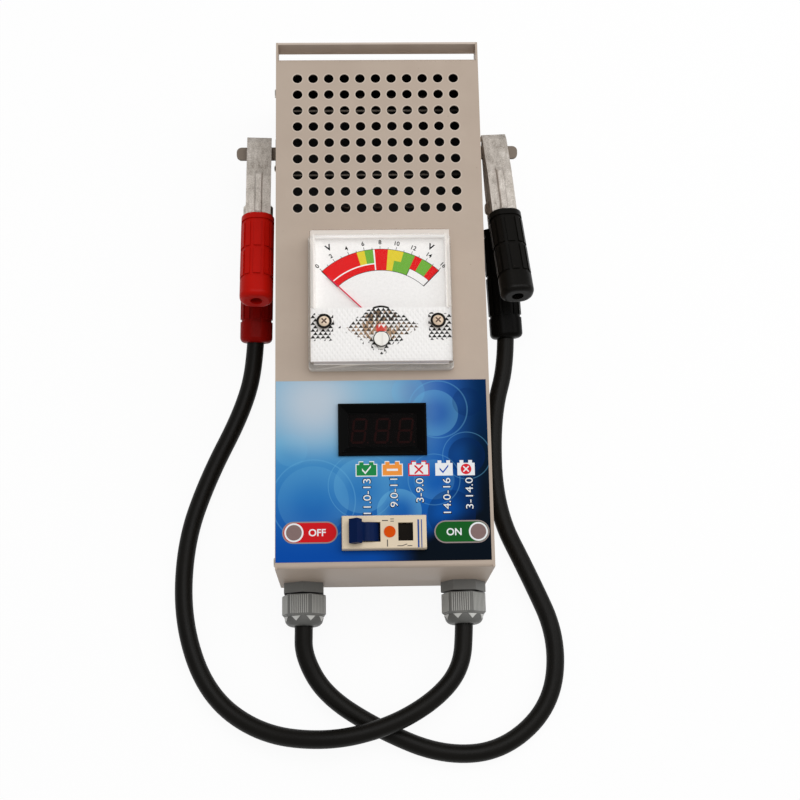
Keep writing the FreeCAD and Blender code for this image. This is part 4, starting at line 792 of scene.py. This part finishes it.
# The storage lugs' enamel is darker than the case's as painted shade.
hook_enamel = stoved("hook_enamel", tint(132, 120, 108), tint(118, 107, 96), 0.5)
brass_plating = moulded("brass_plating", tint(246, 230, 208), tint(206, 174, 142), 0.25, 0.8, 0.05, 0.8)
dial_card = ink("dial_card", tint(248, 246, 244), 0.5)
needle_paint = ink("needle_paint", tint(232, 40, 78), 0.4)
digit_plastic = ink("digit_plastic", tint(118, 40, 38), 0.45)

dress(case_enamel, "front_cover", "rear_shell")
dress(strap_enamel, "top_strap")
dress(hook_enamel, *both("storage_lug_{}", SIDES))
dress(brass_plating, "meter_cover_screws")
dress(plating, "case_rivets", "cover_screws", "meter_studs", "meter_stud_nuts")
dress(plating, "breaker_terminal_screws", "clamp_pivots", "clamp_springs")
dress(zinc, *both("clamp_upper_jaw_{}", CLAMPS), *both("clamp_lower_jaw_{}", CLAMPS))
dress(zinc, "cable_crimps", "breaker_rail")
dress(red_vinyl, "clamp_upper_sleeve_red")
dress(deep_red_vinyl, "clamp_lower_sleeve_red")
dress(black_vinyl, "clamp_upper_sleeve_black")
dress(deep_black_vinyl, "clamp_lower_sleeve_black")
for gland_part in ("gland_body_{}", "gland_locknut_{}", "gland_nut_{}"):
    dress(grey_nylon_and_shade, *both(gland_part, SIDES))
dress(seal_rubber, *both("gland_seal_{}", SIDES))
dress(pale_plastic, "meter_case")
dress(clear_cover(), "meter_cover")
dress(dial_card, "meter_dial")
dress(dark_iron(), "meter_movement")
dress(needle_paint, "meter_needle")
dress(white_plastic, "zero_adjust_screw")
dress(black_plastic, "display_bezel", "display_module")
dress(smoked_lens(), "display_lens")
dress(laminate, "display_board")
dress(film_print(), "panel_label")
dress(digit_plastic, "display_digits")
dress(cream_plastic, "breaker_body")
dress(blue_plastic, "breaker_toggle")
dress(orange_plastic, "breaker_rating_disc")
dress(dark_plastic, "breaker_window")
dress(oxidised_wire(), "load_coil")
dress(mica, "coil_support_upper", "coil_support_lower", "terminal_block")
dress(brass(), "load_terminals", "input_busbar")
dress(lead_vinyl, "load_lead", "return_lead", "meter_leads")


# Making pieces

# A print is one layer thick, and prints over one another rise by a step.
LAYER = 0.06
STEP = 0.03
MERGE = 0.0005


def to_mesh(data):
    """The mesh of a curve, a text or an object with modifiers."""
    holder = data if isinstance(data, bpy.types.Object) else add_object("holder", data)
    shown = holder.evaluated_get(bpy.context.evaluated_depsgraph_get())
    mesh = bpy.data.meshes.new_from_object(shown)
    bpy.data.objects.remove(holder)
    return mesh


def plate(outlines, base, thickness=LAYER):
    """A flat sheet that stands on a height; an outline inside another is a hole."""
    curve = bpy.data.curves.new("plate", "CURVE")
    curve.dimensions = "2D"
    curve.fill_mode = "BOTH"
    curve.extrude = thickness / 2
    for outline in outlines:
        spline = curve.splines.new("POLY")
        spline.points.add(len(outline) - 1)
        for point, place in zip(spline.points, outline):
            point.co = (*place, 0.0, 1.0)
        spline.use_cyclic_u = True
    mesh = to_mesh(curve)
    mesh.transform(Matrix.Translation((0, 0, base + thickness / 2)))
    return mesh


def mesh_box(mesh):
    """Lowest and highest corner of a mesh."""
    places = [vertex.co for vertex in mesh.vertices]
    low = Vector([min(place[axis] for place in places) for axis in range(3)])
    high = Vector([max(place[axis] for place in places) for axis in range(3)])
    return low, high


def lettering(text, middle, base, height, width=None, turn=0.0, bold=0.0):
    """Letters as a thin sheet, with their middle at a point of the front."""
    font = bpy.data.curves.new("lettering", "FONT")
    font.body = text
    font.extrude = 0.5
    font.offset = bold
    mesh = to_mesh(font)
    low, high = mesh_box(mesh)
    tall = height / (high.y - low.y)
    wide = width / (high.x - low.x) if width else tall
    mesh.transform(Matrix.Translation(-(low + high) / 2))
    mesh.transform(Matrix.Diagonal((wide, tall, LAYER, 1.0)))
    mesh.transform(Matrix.Rotation(math.radians(turn), 4, "Z"))
    mesh.transform(Matrix.Translation((*middle, base + LAYER / 2)))
    return mesh


def piece(name, meshes, material):
    """One finished piece from meshes in millimetres, fixed to the tester."""
    work = bmesh.new()
    for mesh in meshes:
        work.from_mesh(mesh)
        bpy.data.meshes.remove(mesh)
    bmesh.ops.remove_doubles(work, verts=work.verts, dist=MERGE)
    bmesh.ops.recalc_face_normals(work, faces=work.faces)
    finished = bpy.data.meshes.new(name)
    work.to_mesh(finished)
    work.free()
    finished.transform(Matrix.Scale(MM, 4))
    finished.materials.append(material)
    made = add_object(name, finished)
    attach(made, "tester")


def lathe(profile, middle, base, steps=32):
    """A round body from a profile of radii and heights."""
    work = bmesh.new()
    places = [(middle[0] + radius, middle[1], base + height) for radius, height in profile]
    points = [work.verts.new(place) for place in places]
    edges = [work.edges.new(pair) for pair in zip(points, points[1:])]
    axis = (0, 0, 1)
    geometry = points + edges
    bmesh.ops.spin(work, geom=geometry, cent=(*middle, 0), axis=axis, angle=2 * math.pi, steps=steps)
    bmesh.ops.remove_doubles(work, verts=work.verts, dist=MERGE)
    mesh = bpy.data.meshes.new("lathe")
    work.to_mesh(mesh)
    work.free()
    return mesh


# Outlines

def rounded_rectangle(low, high, radius, steps=6):
    points = []
    corners = ((high[0], high[1], 0), (low[0], high[1], 90), (low[0], low[1], 180), (high[0], low[1], 270))
    for across, along, start in corners:
        centre_x = across - math.copysign(radius, across - (low[0] + high[0]) / 2)
        centre_y = along - math.copysign(radius, along - (low[1] + high[1]) / 2)
        for step in range(steps + 1):
            turn = math.radians(start + 90 * step / steps)
            points.append((centre_x + radius * math.cos(turn), centre_y + radius * math.sin(turn)))
    return points


def rectangle(low, high):
    return [low, (high[0], low[1]), high, (low[0], high[1])]


def inset(low, high, gap):
    """Corners of a rectangle drawn in on all sides."""
    return (low[0] + gap, low[1] + gap), (high[0] - gap, high[1] - gap)


def circle(middle, radius, steps=40):
    turns = [2 * math.pi * step / steps for step in range(steps)]
    return [(middle[0] + radius * math.cos(turn), middle[1] + radius * math.sin(turn)) for turn in turns]


def clock_point(middle, radius, turn):
    """A point at an angle in degrees, clockwise from straight up."""
    angle = math.radians(turn)
    return middle[0] + radius * math.sin(angle), middle[1] + radius * math.cos(angle)


def ring_sector(middle, inner, outer, start, end):
    """Part of a ring between two angles, which run clockwise from straight up."""
    steps = max(2, round((end - start) / 1.5))
    turns = [start + (end - start) * step / steps for step in range(steps + 1)]
    outside = [clock_point(middle, outer, turn) for turn in turns]
    inside = [clock_point(middle, inner, turn) for turn in turns]
    return outside + inside[::-1]


def cross(middle, half, wide):
    """A diagonal cross, one arm after another."""
    notch = wide / math.sqrt(2)
    arm = [(half, half - notch), (half, half), (half - notch, half), (0, notch)]
    turned = []
    for quarter in range(4):
        turn = Matrix.Rotation(math.radians(90 * quarter), 2)
        turned += [tuple(turn @ Vector(point) + Vector(middle)) for point in arm]
    return turned


def stroke(start, end, wide):
    """A straight line with square ends."""
    along = (Vector(end) - Vector(start)).normalized()
    aside = Vector((-along.y, along.x)) * wide / 2
    corners = ((start, -aside), (end, -aside), (end, aside), (start, aside))
    return [tuple(Vector(point) + shift) for point, shift in corners]


# Repeated shapes

class Repeat(Graph):
    """A geometry tree that repeats a small shape, with named inputs for its sizes."""

    def __init__(self, name):
        super().__init__(bpy.data.node_groups.new(name, "GeometryNodeTree"))
        self.tree.interface.new_socket("Shapes", in_out="OUTPUT", socket_type="NodeSocketGeometry")
        self.entry = self.tree.nodes.new("NodeGroupInput")
        self.sizes = {}

    def size(self, name, value):
        """A named input; a whole number makes a count."""
        kind = "NodeSocketInt" if isinstance(value, int) else "NodeSocketFloat"
        socket = self.tree.interface.new_socket(name, in_out="INPUT", socket_type=kind)
        self.sizes[socket.identifier] = value
        return Value(self, self.entry.outputs[name])

    def index(self):
        return self.node("GeometryNodeInputIndex")

    def triple(self, x, y, z):
        return self.node("ShaderNodeCombineXYZ", inputs={0: x, 1: y, 2: z})

    def copies(self, count, shape, place, turn=None, chosen=None):
        """A copy of a shape at each of so many places, with a turn and a choice of its own."""
        row = self.node("GeometryNodeMeshLine", inputs={"Count": count})
        points = self.node("GeometryNodeSetPosition", inputs={"Geometry": row, "Position": place})
        inputs = {"Points": points, "Instance": shape}
        if turn is not None:
            inputs["Rotation"] = turn
        if chosen is not None:
            inputs["Selection"] = chosen
        return self.node("GeometryNodeInstanceOnPoints", inputs=inputs)

    def real(self, shapes):
        return self.node("GeometryNodeRealizeInstances", inputs={0: shapes})

    def make(self, shapes, material):
        """The repeated shapes as one plain mesh in millimetres."""
        inputs = {"Geometry": self.real(shapes), "Material": material}
        dressed = self.node("GeometryNodeSetMaterial", inputs=inputs)
        self.feed(self.tree.nodes.new("NodeGroupOutput").inputs[0], dressed)
        holder = add_object("holder", bpy.data.meshes.new("holder"))
        modifier = holder.modifiers.new("repeat", "NODES")
        modifier.node_group = self.tree
        for identifier, value in self.sizes.items():
            modifier[identifier] = value
        return to_mesh(holder)


# Glands

NUT_FACES = 6
NUT_FACE_ANGLE = 42.0
RIB_LENGTH = 10.2
RIB_START = 0.5
FACET_START = 1.0


def nut_ribs(across):
    """Fine ribs along the six faces of a gland's nut."""
    tree = Repeat("nut_ribs")
    ribs = tree.size("Ribs to a face", 9)
    reach = tree.size("Half across flats", 11.1)
    pitch = tree.size("Pitch", 1.2)
    thick = tree.size("Rib radius", 0.34)
    length = tree.size("Rib length", RIB_LENGTH)
    spin = tree.size("First face angle", math.radians(NUT_FACE_ANGLE))
    middle_x = tree.size("Across", across)
    middle_y = tree.size("Along", NUT_HIGH.y - RIB_START - RIB_LENGTH / 2)
    middle_z = tree.size("Up", NUT_MIDDLE_UP)
    face = tree.math("FLOOR", tree.index() / ribs)
    aside = (tree.index() - face * ribs - (ribs - 1) / 2) * pitch
    turn = face * (2 * math.pi / NUT_FACES) + spin
    out = tree.math("COSINE", turn)
    up = tree.math("SINE", turn)
    x = middle_x + reach * out - aside * up
    z = middle_z + reach * up + aside * out
    upright = tree.node("GeometryNodeMeshCylinder", inputs={"Vertices": 8, "Radius": thick, "Depth": length})
    inputs = {"Geometry": upright, "Rotation": (math.pi / 2, 0, 0)}
    lying = tree.node("GeometryNodeTransform", inputs=inputs)
    return tree.make(tree.copies(ribs * NUT_FACES, lying, tree.triple(x, middle_y, z)), lit_rib_nylon)


def nut_facets(across):
    """Eight flat three-cornered facets where the nut's dome begins."""
    tree = Repeat("nut_facets")
    count = tree.size("Facets", 8)
    reach = tree.size("Radius", 10.3)
    tilt = tree.size("Tilt", math.radians(8))
    wide = tree.size("Facet radius", 2.3)
    deep = tree.size("Facet depth", 1.2)
    middle_x = tree.size("Across", across)
    middle_y = tree.size("Along", HEXAGON_END - FACET_START)
    middle_z = tree.size("Up", NUT_MIDDLE_UP)
    turn = (tree.index() + 0.5) * (2 * math.pi) / count
    x = middle_x + reach * tree.math("SINE", turn)
    z = middle_z + reach * tree.math("COSINE", turn)
    chip = tree.node("GeometryNodeMeshCylinder", inputs={"Vertices": 3, "Radius": wide, "Depth": deep})
    inputs = {"Geometry": chip, "Rotation": (0, 0, -math.pi / 2), "Scale": (0.78, 1.3, 1.0)}
    pointed = tree.node("GeometryNodeTransform", inputs=inputs)
    place = tree.triple(x, middle_y, z)
    return tree.make(tree.copies(count, pointed, place, tree.triple(tilt, turn, 0.0)), lit_facet_nylon)


ribs_of_both = [nut_ribs(side * GLAND_ASIDE) for side in LEFT_AND_RIGHT]
piece("gland_nut_ribs", ribs_of_both, lit_rib_nylon)
facets_of_both = [nut_facets(side * GLAND_ASIDE) for side in LEFT_AND_RIGHT]
piece("gland_nut_facets", facets_of_both, lit_facet_nylon)


# Meter cover: prisms, lining and screws

PRISM_COLUMNS = 28
PRISM_ROWS = 15
PRISM_WIDE = 2.75
PRISM_TALL = 3.85
PRISM_DEEP = 0.26
PRISM_GAP = 0.02
PRISM_BASE = COVER_CEILING - PRISM_DEEP - PRISM_GAP
PRISM_CLEARANCE = 4.6
PRISM_REACH = 37.2
LEAN_SHARE = 0.55
FIELD_HALF_WIDE = 38.4
FIELD_LOW = (METER_X - FIELD_HALF_WIDE, -38.4)
FIELD_HIGH = (METER_X + FIELD_HALF_WIDE, -7.4)
BACKING_DROP = 0.1
BACKING_HOLE = 5.6
CROWN_MIDDLE = (METER_X, -16.35)
CROWN_IN = 8.9
CROWN_OUT = 10.0
CROWN_HALF_TURN = 27
CROWN_DROP = 0.04
LINER_FIT = 0.03
LINER_LOWER_WALL = 0.3
LINER_LIFT = 0.1
LINER_DROP = 0.6
# Rings of painted shade round the screw heads and the zero adjuster.
SCREW_RING_IN = 2.9
SCREW_RING_OUT = 4.2
ZERO_RING_IN = 4.0
ZERO_RING_OUT = 4.5
ZERO_RING_SINK = 0.01
# Radii and heights of a screw's domed head.
SCREW_HEAD = [(0.0, 1.15), (1.1, 1.1), (2.0, 0.85), (2.7, 0.4), (3.1, 0.0), (3.1, -0.5), (0.0, -0.5)]
SCREW_HEAD_SINK = 0.2
RECESS_HALF = 1.4
RECESS_WIDE = 0.8
RECESS_TALL = 0.98


def cover_prisms(material):
    """Little pyramids under the lower part of the clear cover, in two offset grids."""
    tree = Repeat("cover_prisms")
    columns = tree.size("Columns", PRISM_COLUMNS)
    rows = tree.size("Rows", PRISM_ROWS)
    wide = tree.size("Width", PRISM_WIDE)
    tall = tree.size("Height", PRISM_TALL)
    deep = tree.size("Depth", PRISM_DEEP)
    left = tree.size("Left", METER_X - (PRISM_COLUMNS - 1) / 2 * PRISM_WIDE)
    low = tree.size("Low", FIELD_LOW[1] + PRISM_TALL / 2)
    row = tree.math("FLOOR", tree.index() / columns)
    column = tree.index() - row * columns
    offset = tree.math("MODULO", row, 2.0) / 2
    x = left + (column + offset) * wide
    y = low + row * tall / 2
    free = tree.math("LESS_THAN", x, METER_X + PRISM_REACH)
    for across, along in (ZERO_PLACE, *SCREW_PLACES):
        off = tree.length(x - across, y - along)
        free = free * tree.math("GREATER_THAN", off, PRISM_CLEARANCE)
    inputs = {"Vertices": 4, "Radius Top": 0.0, "Radius Bottom": 0.5, "Depth": 1.0}
    pyramid = tree.node("GeometryNodeMeshCone", inputs=inputs)
    inputs = {"Geometry": pyramid, "Scale": tree.triple(wide, tall, deep)}
    sized = tree.node("GeometryNodeTransform", inputs=inputs)
    shapes = tree.copies(columns * rows, sized, tree.triple(x, y, PRISM_BASE), chosen=free)
    return tree.make(mark_facets(tree, shapes), material)


def mark_facets(tree, shapes):
    """Gives each facet its own share, larger on two of a pyramid's five faces."""
    face = tree.math("MODULO", tree.index(), 5.0)
    lean = tree.math("LESS_THAN", face, 1.5)
    chance = tree.node("FunctionNodeRandomValue", {"data_type": "FLOAT"}, {"Seed": 7}, 1)
    share = lean * LEAN_SHARE + chance * (1 - LEAN_SHARE)
    settings = {"data_type": "FLOAT", "domain": "FACE"}
    inputs = {"Geometry": tree.real(shapes), "Name": "facet", "Value": share}
    return tree.node("GeometryNodeStoreNamedAttribute", settings, inputs)


def make_prisms():
    """The prisms, the white sheet under them, and the dark top of the movement."""
    facets = prism_facets()
    piece("meter_cover_prisms", [cover_prisms(facets)], facets)
    outlines = [rectangle(FIELD_LOW, FIELD_HIGH), circle(ZERO_PLACE, BACKING_HOLE)]
    backing = plate(outlines, PRISM_BASE - BACKING_DROP)
    piece("meter_prism_backing", [backing], dial_card)
    crown = ring_sector(CROWN_MIDDLE, CROWN_IN, CROWN_OUT, -CROWN_HALF_TURN, CROWN_HALF_TURN)
    piece("meter_bridge_edge", [plate([crown], PRISM_BASE - CROWN_DROP)], dark_edge_and_well_shade)


def make_liner():
    """White lining round the inside of the cover's walls, from the base to the front."""
    low, high = inset(COVER_LOW, COVER_HIGH, LINER_INSET)
    dial_low, dial_high = span("meter_dial")
    inner_low = (dial_low.x - LINER_FIT, low[1] + LINER_LOWER_WALL)
    inner_high = (dial_high.x + LINER_FIT, dial_high.y + LINER_FIT)
    base = COVER_LOW.z + LINER_LIFT
    tall = COVER_CEILING - LINER_DROP - base
    sheet = plate([rectangle(low, high), rectangle(inner_low, inner_high)], base, tall)
    piece("meter_liner", [sheet], lit_lining())


def ring(middle, inner, outer, base):
    """A thin flat ring."""
    return plate([circle(middle, outer), circle(middle, inner)], base)


def make_screw_wells():
    """Dark rings of painted shade round the screws and the zero adjuster."""
    wells = [ring(place, SCREW_RING_IN, SCREW_RING_OUT, SCREW_TOP) for place in SCREW_PLACES]
    wells.append(ring(ZERO_PLACE, ZERO_RING_IN, ZERO_RING_OUT, COVER_HIGH.z - ZERO_RING_SINK))
    piece("meter_screw_well_shades", wells, dark_edge_and_well_shade)


def make_screw_heads():
    """Domed heads with a dark cross of painted shade for the recess."""
    heads = [lathe(SCREW_HEAD, place, SCREW_TOP - SCREW_HEAD_SINK) for place in SCREW_PLACES]
    piece("meter_screw_heads", heads, brass_plating)
    # Painted shade: a dark cross stands for the recess in each head.
    crosses = [cross(place, RECESS_HALF, RECESS_WIDE) for place in SCREW_PLACES]
    recesses = [plate([outline], SCREW_TOP, RECESS_TALL) for outline in crosses]
    piece("meter_screw_recesses", recesses, recess_brown)


make_prisms()
make_liner()
make_screw_wells()
make_screw_heads()


# Dial

DIAL_FACE = span("meter_dial")[1].z
SCALE_MIDDLE = (-0.2, -18.4)
SCALE_TOP = 16
SCALE_HALF = 43.2
TICK_WIDE = 0.26
LONG_TICK = 2.0
SHORT_TICK = 1.2
NUMBER_RADIUS = 51.1
NUMBER_TALL = 2.5
UNIT_ASIDE = 28.5
UNIT_ALONG = 29.7
UNIT_TALL = 3.6
UNIT_TURN = 26
# Radii of the bands: two tracks with a white line between, and a step in the yellow and green.
BAND_IN = 34.7
INNER_TRACK_OUT = 38.2
WHITE_TRACK_OUT = 38.7
OUTER_TRACK_IN = 38.9
STEP_RADIUS = 40.8
BAND_OUT = 46.9
BAND_LINE = 0.28
BAND_OVERRUN = 0.12
# Bands: inner and outer radius, and the values where they start and end.
RED_BANDS = [
    (OUTER_TRACK_IN, BAND_OUT, 0, 5), (BAND_IN, INNER_TRACK_OUT, 0, 7.1), (BAND_IN, BAND_OUT, 7.3, 9),
    (OUTER_TRACK_IN, BAND_OUT, 12.5, 13.5), (OUTER_TRACK_IN, BAND_OUT, 15, 16),
]
YELLOW_BANDS = [
    (OUTER_TRACK_IN, BAND_OUT, 5, 6), (STEP_RADIUS, BAND_OUT, 9, 11), (BAND_IN, STEP_RADIUS, 9, 10),
]
GREEN_BANDS = [
    (OUTER_TRACK_IN, BAND_OUT, 6, 7.1), (STEP_RADIUS, BAND_OUT, 11, 12.5),
    (BAND_IN, STEP_RADIUS, 10, 12.5), (OUTER_TRACK_IN, BAND_OUT, 13.5, 15),
]
WHITE_BANDS = [
    (INNER_TRACK_OUT, OUTER_TRACK_IN, 0, 7.1), (BAND_IN, BAND_OUT, 7.1, 7.3),
    (BAND_IN, WHITE_TRACK_OUT, 12.6, 15.95),
]


def scale_turn(value):
    """Angle of a value on the scale, clockwise from straight up."""
    return SCALE_HALF * (2 * value / SCALE_TOP - 1)


def bands(rows, layer):
    """Parts of rings along the scale."""
    base = DIAL_FACE + layer * STEP
    turned = [(inner, outer, scale_turn(start), scale_turn(end)) for inner, outer, start, end in rows]
    return [plate([ring_sector(SCALE_MIDDLE, *row)], base) for row in turned]


def scale_ticks(first, count, length, material):
    """Every second tick of the scale, from the first value on."""
    tree = Repeat("scale_ticks")
    number = tree.size("Ticks", count)
    start = tree.size("First angle", math.radians(scale_turn(first)))
    step = tree.size("Angle between ticks", math.radians(scale_turn(2) - scale_turn(0)))
    tall = tree.size("Length", length)
    wide = tree.size("Width", TICK_WIDE)
    radius = tree.size("Radius", BAND_OUT + length / 2)
    turn = start + tree.index() * step
    x = SCALE_MIDDLE[0] + radius * tree.math("SINE", turn)
    y = SCALE_MIDDLE[1] + radius * tree.math("COSINE", turn)
    tick = tree.node("GeometryNodeMeshCube", inputs={"Size": tree.triple(wide, tall, LAYER)})
    place = tree.triple(x, y, DIAL_FACE + LAYER / 2)
    return tree.make(tree.copies(number, tick, place, tree.triple(0.0, 0.0, turn * -1)), material)


def make_dial_print():
    """Scale with ticks and numbers, the unit on either side, and the coloured bands."""
    black = ink("dial_black", tint(20, 20, 22))
    outline = (BAND_IN - BAND_LINE, BAND_OUT + BAND_LINE, -BAND_OVERRUN, SCALE_TOP + BAND_OVERRUN)
    marks = bands([outline], 0)
    marks.append(scale_ticks(0, 9, LONG_TICK, black))
    marks.append(scale_ticks(1, 8, SHORT_TICK, black))
    for value in range(0, SCALE_TOP + 1, 2):
        turn = scale_turn(value)
        middle = clock_point(SCALE_MIDDLE, NUMBER_RADIUS, turn)
        marks.append(lettering(str(value), middle, DIAL_FACE, NUMBER_TALL, turn=-turn, bold=0.02))
    for side in LEFT_AND_RIGHT:
        middle = (METER_X + side * UNIT_ASIDE, UNIT_ALONG)
        marks.append(lettering("V", middle, DIAL_FACE, UNIT_TALL, turn=-side * UNIT_TURN, bold=0.03))
    piece("dial_black_marks", marks, black)
    piece("dial_white_marks", bands(WHITE_BANDS, 1), dial_card)
    for name, rows, colour in (
        ("red", RED_BANDS, tint(228, 14, 18)), ("yellow", YELLOW_BANDS, tint(228, 206, 52)),
        ("green", GREEN_BANDS, tint(112, 176, 60)),
    ):
        piece(f"dial_{name}_bands", bands(rows, 1), ink(f"dial_{name}", colour))


make_dial_print()


# Film

KEY_RIM = 0.7
KEY_RING = 5.1
KEY_BUTTON = 4.2
KEY_WORD_TALL = 3.9
ICON_LOW = -99.0
ICON_HIGH = -90.6
ICON_SPANS = [(-15.2, -3.5), (-1.1, 10.3), (13.2, 24.6), (27.8, 37.2), (39.7, 49.1)]
ICON_RIM = 0.5
RED_ICON_RIM = 0.7
TERMINAL_TALL = 1.5
MARK_DROP = 0.7
MARK_SIZE = 2.4
MARK_WIDE = 0.9
BAR_HALF = 3
BAR_WIDE = 1.2
DISC_RADIUS = 2.9
DISC_CROSS = 1.6
DISC_CROSS_WIDE = 0.7
ICON_NUMBERS = ["11.0-13", "9.0-11", "3-9.0", "14.0-16", "3-14.0"]
# Across, and the lower end of each upright number.
ICON_NUMBER_PLACES = [(-9.2, -119.5), (5.3, -115.9), (19.2, -113.4), (33.7, -119.5), (45.8, -117.3)]
ICON_NUMBER_TOP = -100.3
ICON_NUMBER_TALL = 4.0
ICON_NUMBER_EDGE = 0.9

pale_ink = ink("film_white", tint(236, 238, 240))
button_ink = ink("button_ink", tint(132, 110, 107))
rim_ink = ink("key_rim_ink", tint(150, 136, 134))
outline_ink = ink("film_outline", tint(14, 22, 44))
icon_green = ink("icon_green", tint(24, 134, 70))
icon_orange = ink("icon_orange", tint(240, 150, 62))
icon_red = ink("icon_red", tint(214, 34, 48))
icon_blue = ink("icon_blue", tint(30, 82, 178))


def on_film(outline, layer):
    """An outline printed on the film, over so many other layers."""
    return plate([outline], FILM_FRONT + layer * STEP)


def make_key(name, low, high, button, word, word_middle, colour):
    """A printed key: pale rim, coloured field, ringed button and a word."""
    half = (high[1] - low[1]) / 2
    field = rounded_rectangle(*inset(low, high, KEY_RIM), half - KEY_RIM)
    letters = lettering(word, word_middle, FILM_FRONT + 2 * STEP, KEY_WORD_TALL, bold=0.02)
    piece(f"key_{name}_rim", [on_film(rounded_rectangle(low, high, half), 0)], rim_ink)
    piece(f"key_{name}_word", [on_film(circle(button, KEY_RING), 2), letters], pale_ink)
    piece(f"key_{name}_field", [on_film(field, 1)], ink(f"key_{name}_ink", colour))
    piece(f"key_{name}_button", [on_film(circle(button, KEY_BUTTON), 3)], button_ink)


def battery(low, high):
    """Outline of a battery with its two terminals."""
    shoulder = high[1] - TERMINAL_TALL
    width = high[0] - low[0]
    points = [low, (high[0], low[1]), (high[0], shoulder)]
    for right_share, left_share in ((0.86, 0.64), (0.36, 0.14)):
        right = low[0] + width * right_share
        left = low[0] + width * left_share
        points += [(right, shoulder), (right, high[1]), (left, high[1]), (left, shoulder)]
    return points + [(low[0], shoulder)]


def tick_mark(middle, size, wide):
    """Outline of a tick: a short stroke down and a long stroke up."""
    path = [(-1, 0.1), (-0.25, -0.75), (1, 0.8)]
    shift = Vector((0.0, wide))
    lower = [Vector(middle) + Vector(point) * size - shift / 2 for point in path]
    upper = [point + shift * 1.3 for point in lower]
    return [tuple(point) for point in lower + upper[::-1]]


def make_icons():
    """Five batteries with a tick, a bar or a cross, and upright numbers with a dark edge below them."""
    boxes = [((left, ICON_LOW), (right, ICON_HIGH)) for left, right in ICON_SPANS]
    along = (ICON_LOW + ICON_HIGH) / 2 - MARK_DROP
    middles = [((left + right) / 2, along) for left, right in ICON_SPANS]

    def fill(index, gap, layer):
        return on_film(battery(*inset(*boxes[index], gap)), layer)

    bar = stroke((middles[1][0] - BAR_HALF, along), (middles[1][0] + BAR_HALF, along), BAR_WIDE)
    green = [fill(0, ICON_RIM, 1)]
    orange = [fill(1, ICON_RIM, 1)]
    red = [fill(2, 0.0, 0)]
    red.append(on_film(cross(middles[2], MARK_SIZE, MARK_WIDE), 2))
    red.append(on_film(circle(middles[4], DISC_RADIUS), 1))
    white = [fill(index, 0.0, 0) for index in (0, 1, 3, 4)]
    white.append(fill(2, RED_ICON_RIM, 1))
    white.append(on_film(tick_mark(middles[0], MARK_SIZE, MARK_WIDE), 2))
    white.append(on_film(bar, 2))
    white.append(on_film(cross(middles[4], DISC_CROSS, DISC_CROSS_WIDE), 2))
    blue = [on_film(tick_mark(middles[3], MARK_SIZE, MARK_WIDE), 1)]
    dark = []
    for text, (across, low) in zip(ICON_NUMBERS, ICON_NUMBER_PLACES):
        middle = (across, (ICON_NUMBER_TOP + low) / 2)
        length = ICON_NUMBER_TOP - low
        edge_tall = ICON_NUMBER_TALL + ICON_NUMBER_EDGE
        dark.append(lettering(text, middle, FILM_FRONT, edge_tall, length + ICON_NUMBER_EDGE, 90, 0.035))
        white.append(lettering(text, middle, FILM_FRONT + STEP, ICON_NUMBER_TALL, length, 90))
    for name, meshes, colour in (
        ("green", green, icon_green), ("orange", orange, icon_orange), ("red", red, icon_red),
        ("blue", blue, icon_blue), ("white", white, pale_ink), ("dark", dark, outline_ink),
    ):
        piece(f"icons_{name}", meshes, colour)


make_key("off", (-54.7, -135.1), (-25.0, -123.2), (-48.4, -129.1), "OFF", (-36.0, -129.2), tint(206, 18, 26))
make_key("on", (26.4, -135.8), (56.0, -123.5), (50.0, -129.7), "ON", (37.0, -129.7), tint(10, 90, 28))
make_icons()


# Breaker prints

NOSE_FRONT = 76.0
# Lines: start, end and width.
BREAKER_MARKS = [
    ((6.4, -137.8), (9.0, -137.8), 0.4), ((9.0, -137.8), (11.6, -136.9), 0.4),
    ((11.8, -137.8), (14.3, -137.8), 0.4), ((-1.5, -124.2), (1.7, -124.2), 0.5),
    ((2.9, -123.4), (4.8, -123.4), 0.4), ((2.9, -124.6), (4.8, -124.6), 0.4),
    ((1.2, -134.4), (1.2, -138.2), 0.5),
]
BREAKER_STRIPES = [((17.7, -123.8), (17.7, -138.8), 0.9), ((19.4, -123.8), (19.4, -138.8), 0.5)]


def make_breaker_print():
    """A few plain grey lines and two blue stripes on the nose."""
    for name, lines, colour in (
        ("marks", BREAKER_MARKS, ink("breaker_grey", tint(84, 80, 76))),
        ("stripes", BREAKER_STRIPES, ink("breaker_blue", tint(38, 78, 152))),
    ):
        meshes = [plate([stroke(*line)], NOSE_FRONT) for line in lines]
        piece(f"breaker_{name}", meshes, colour)


make_breaker_print()
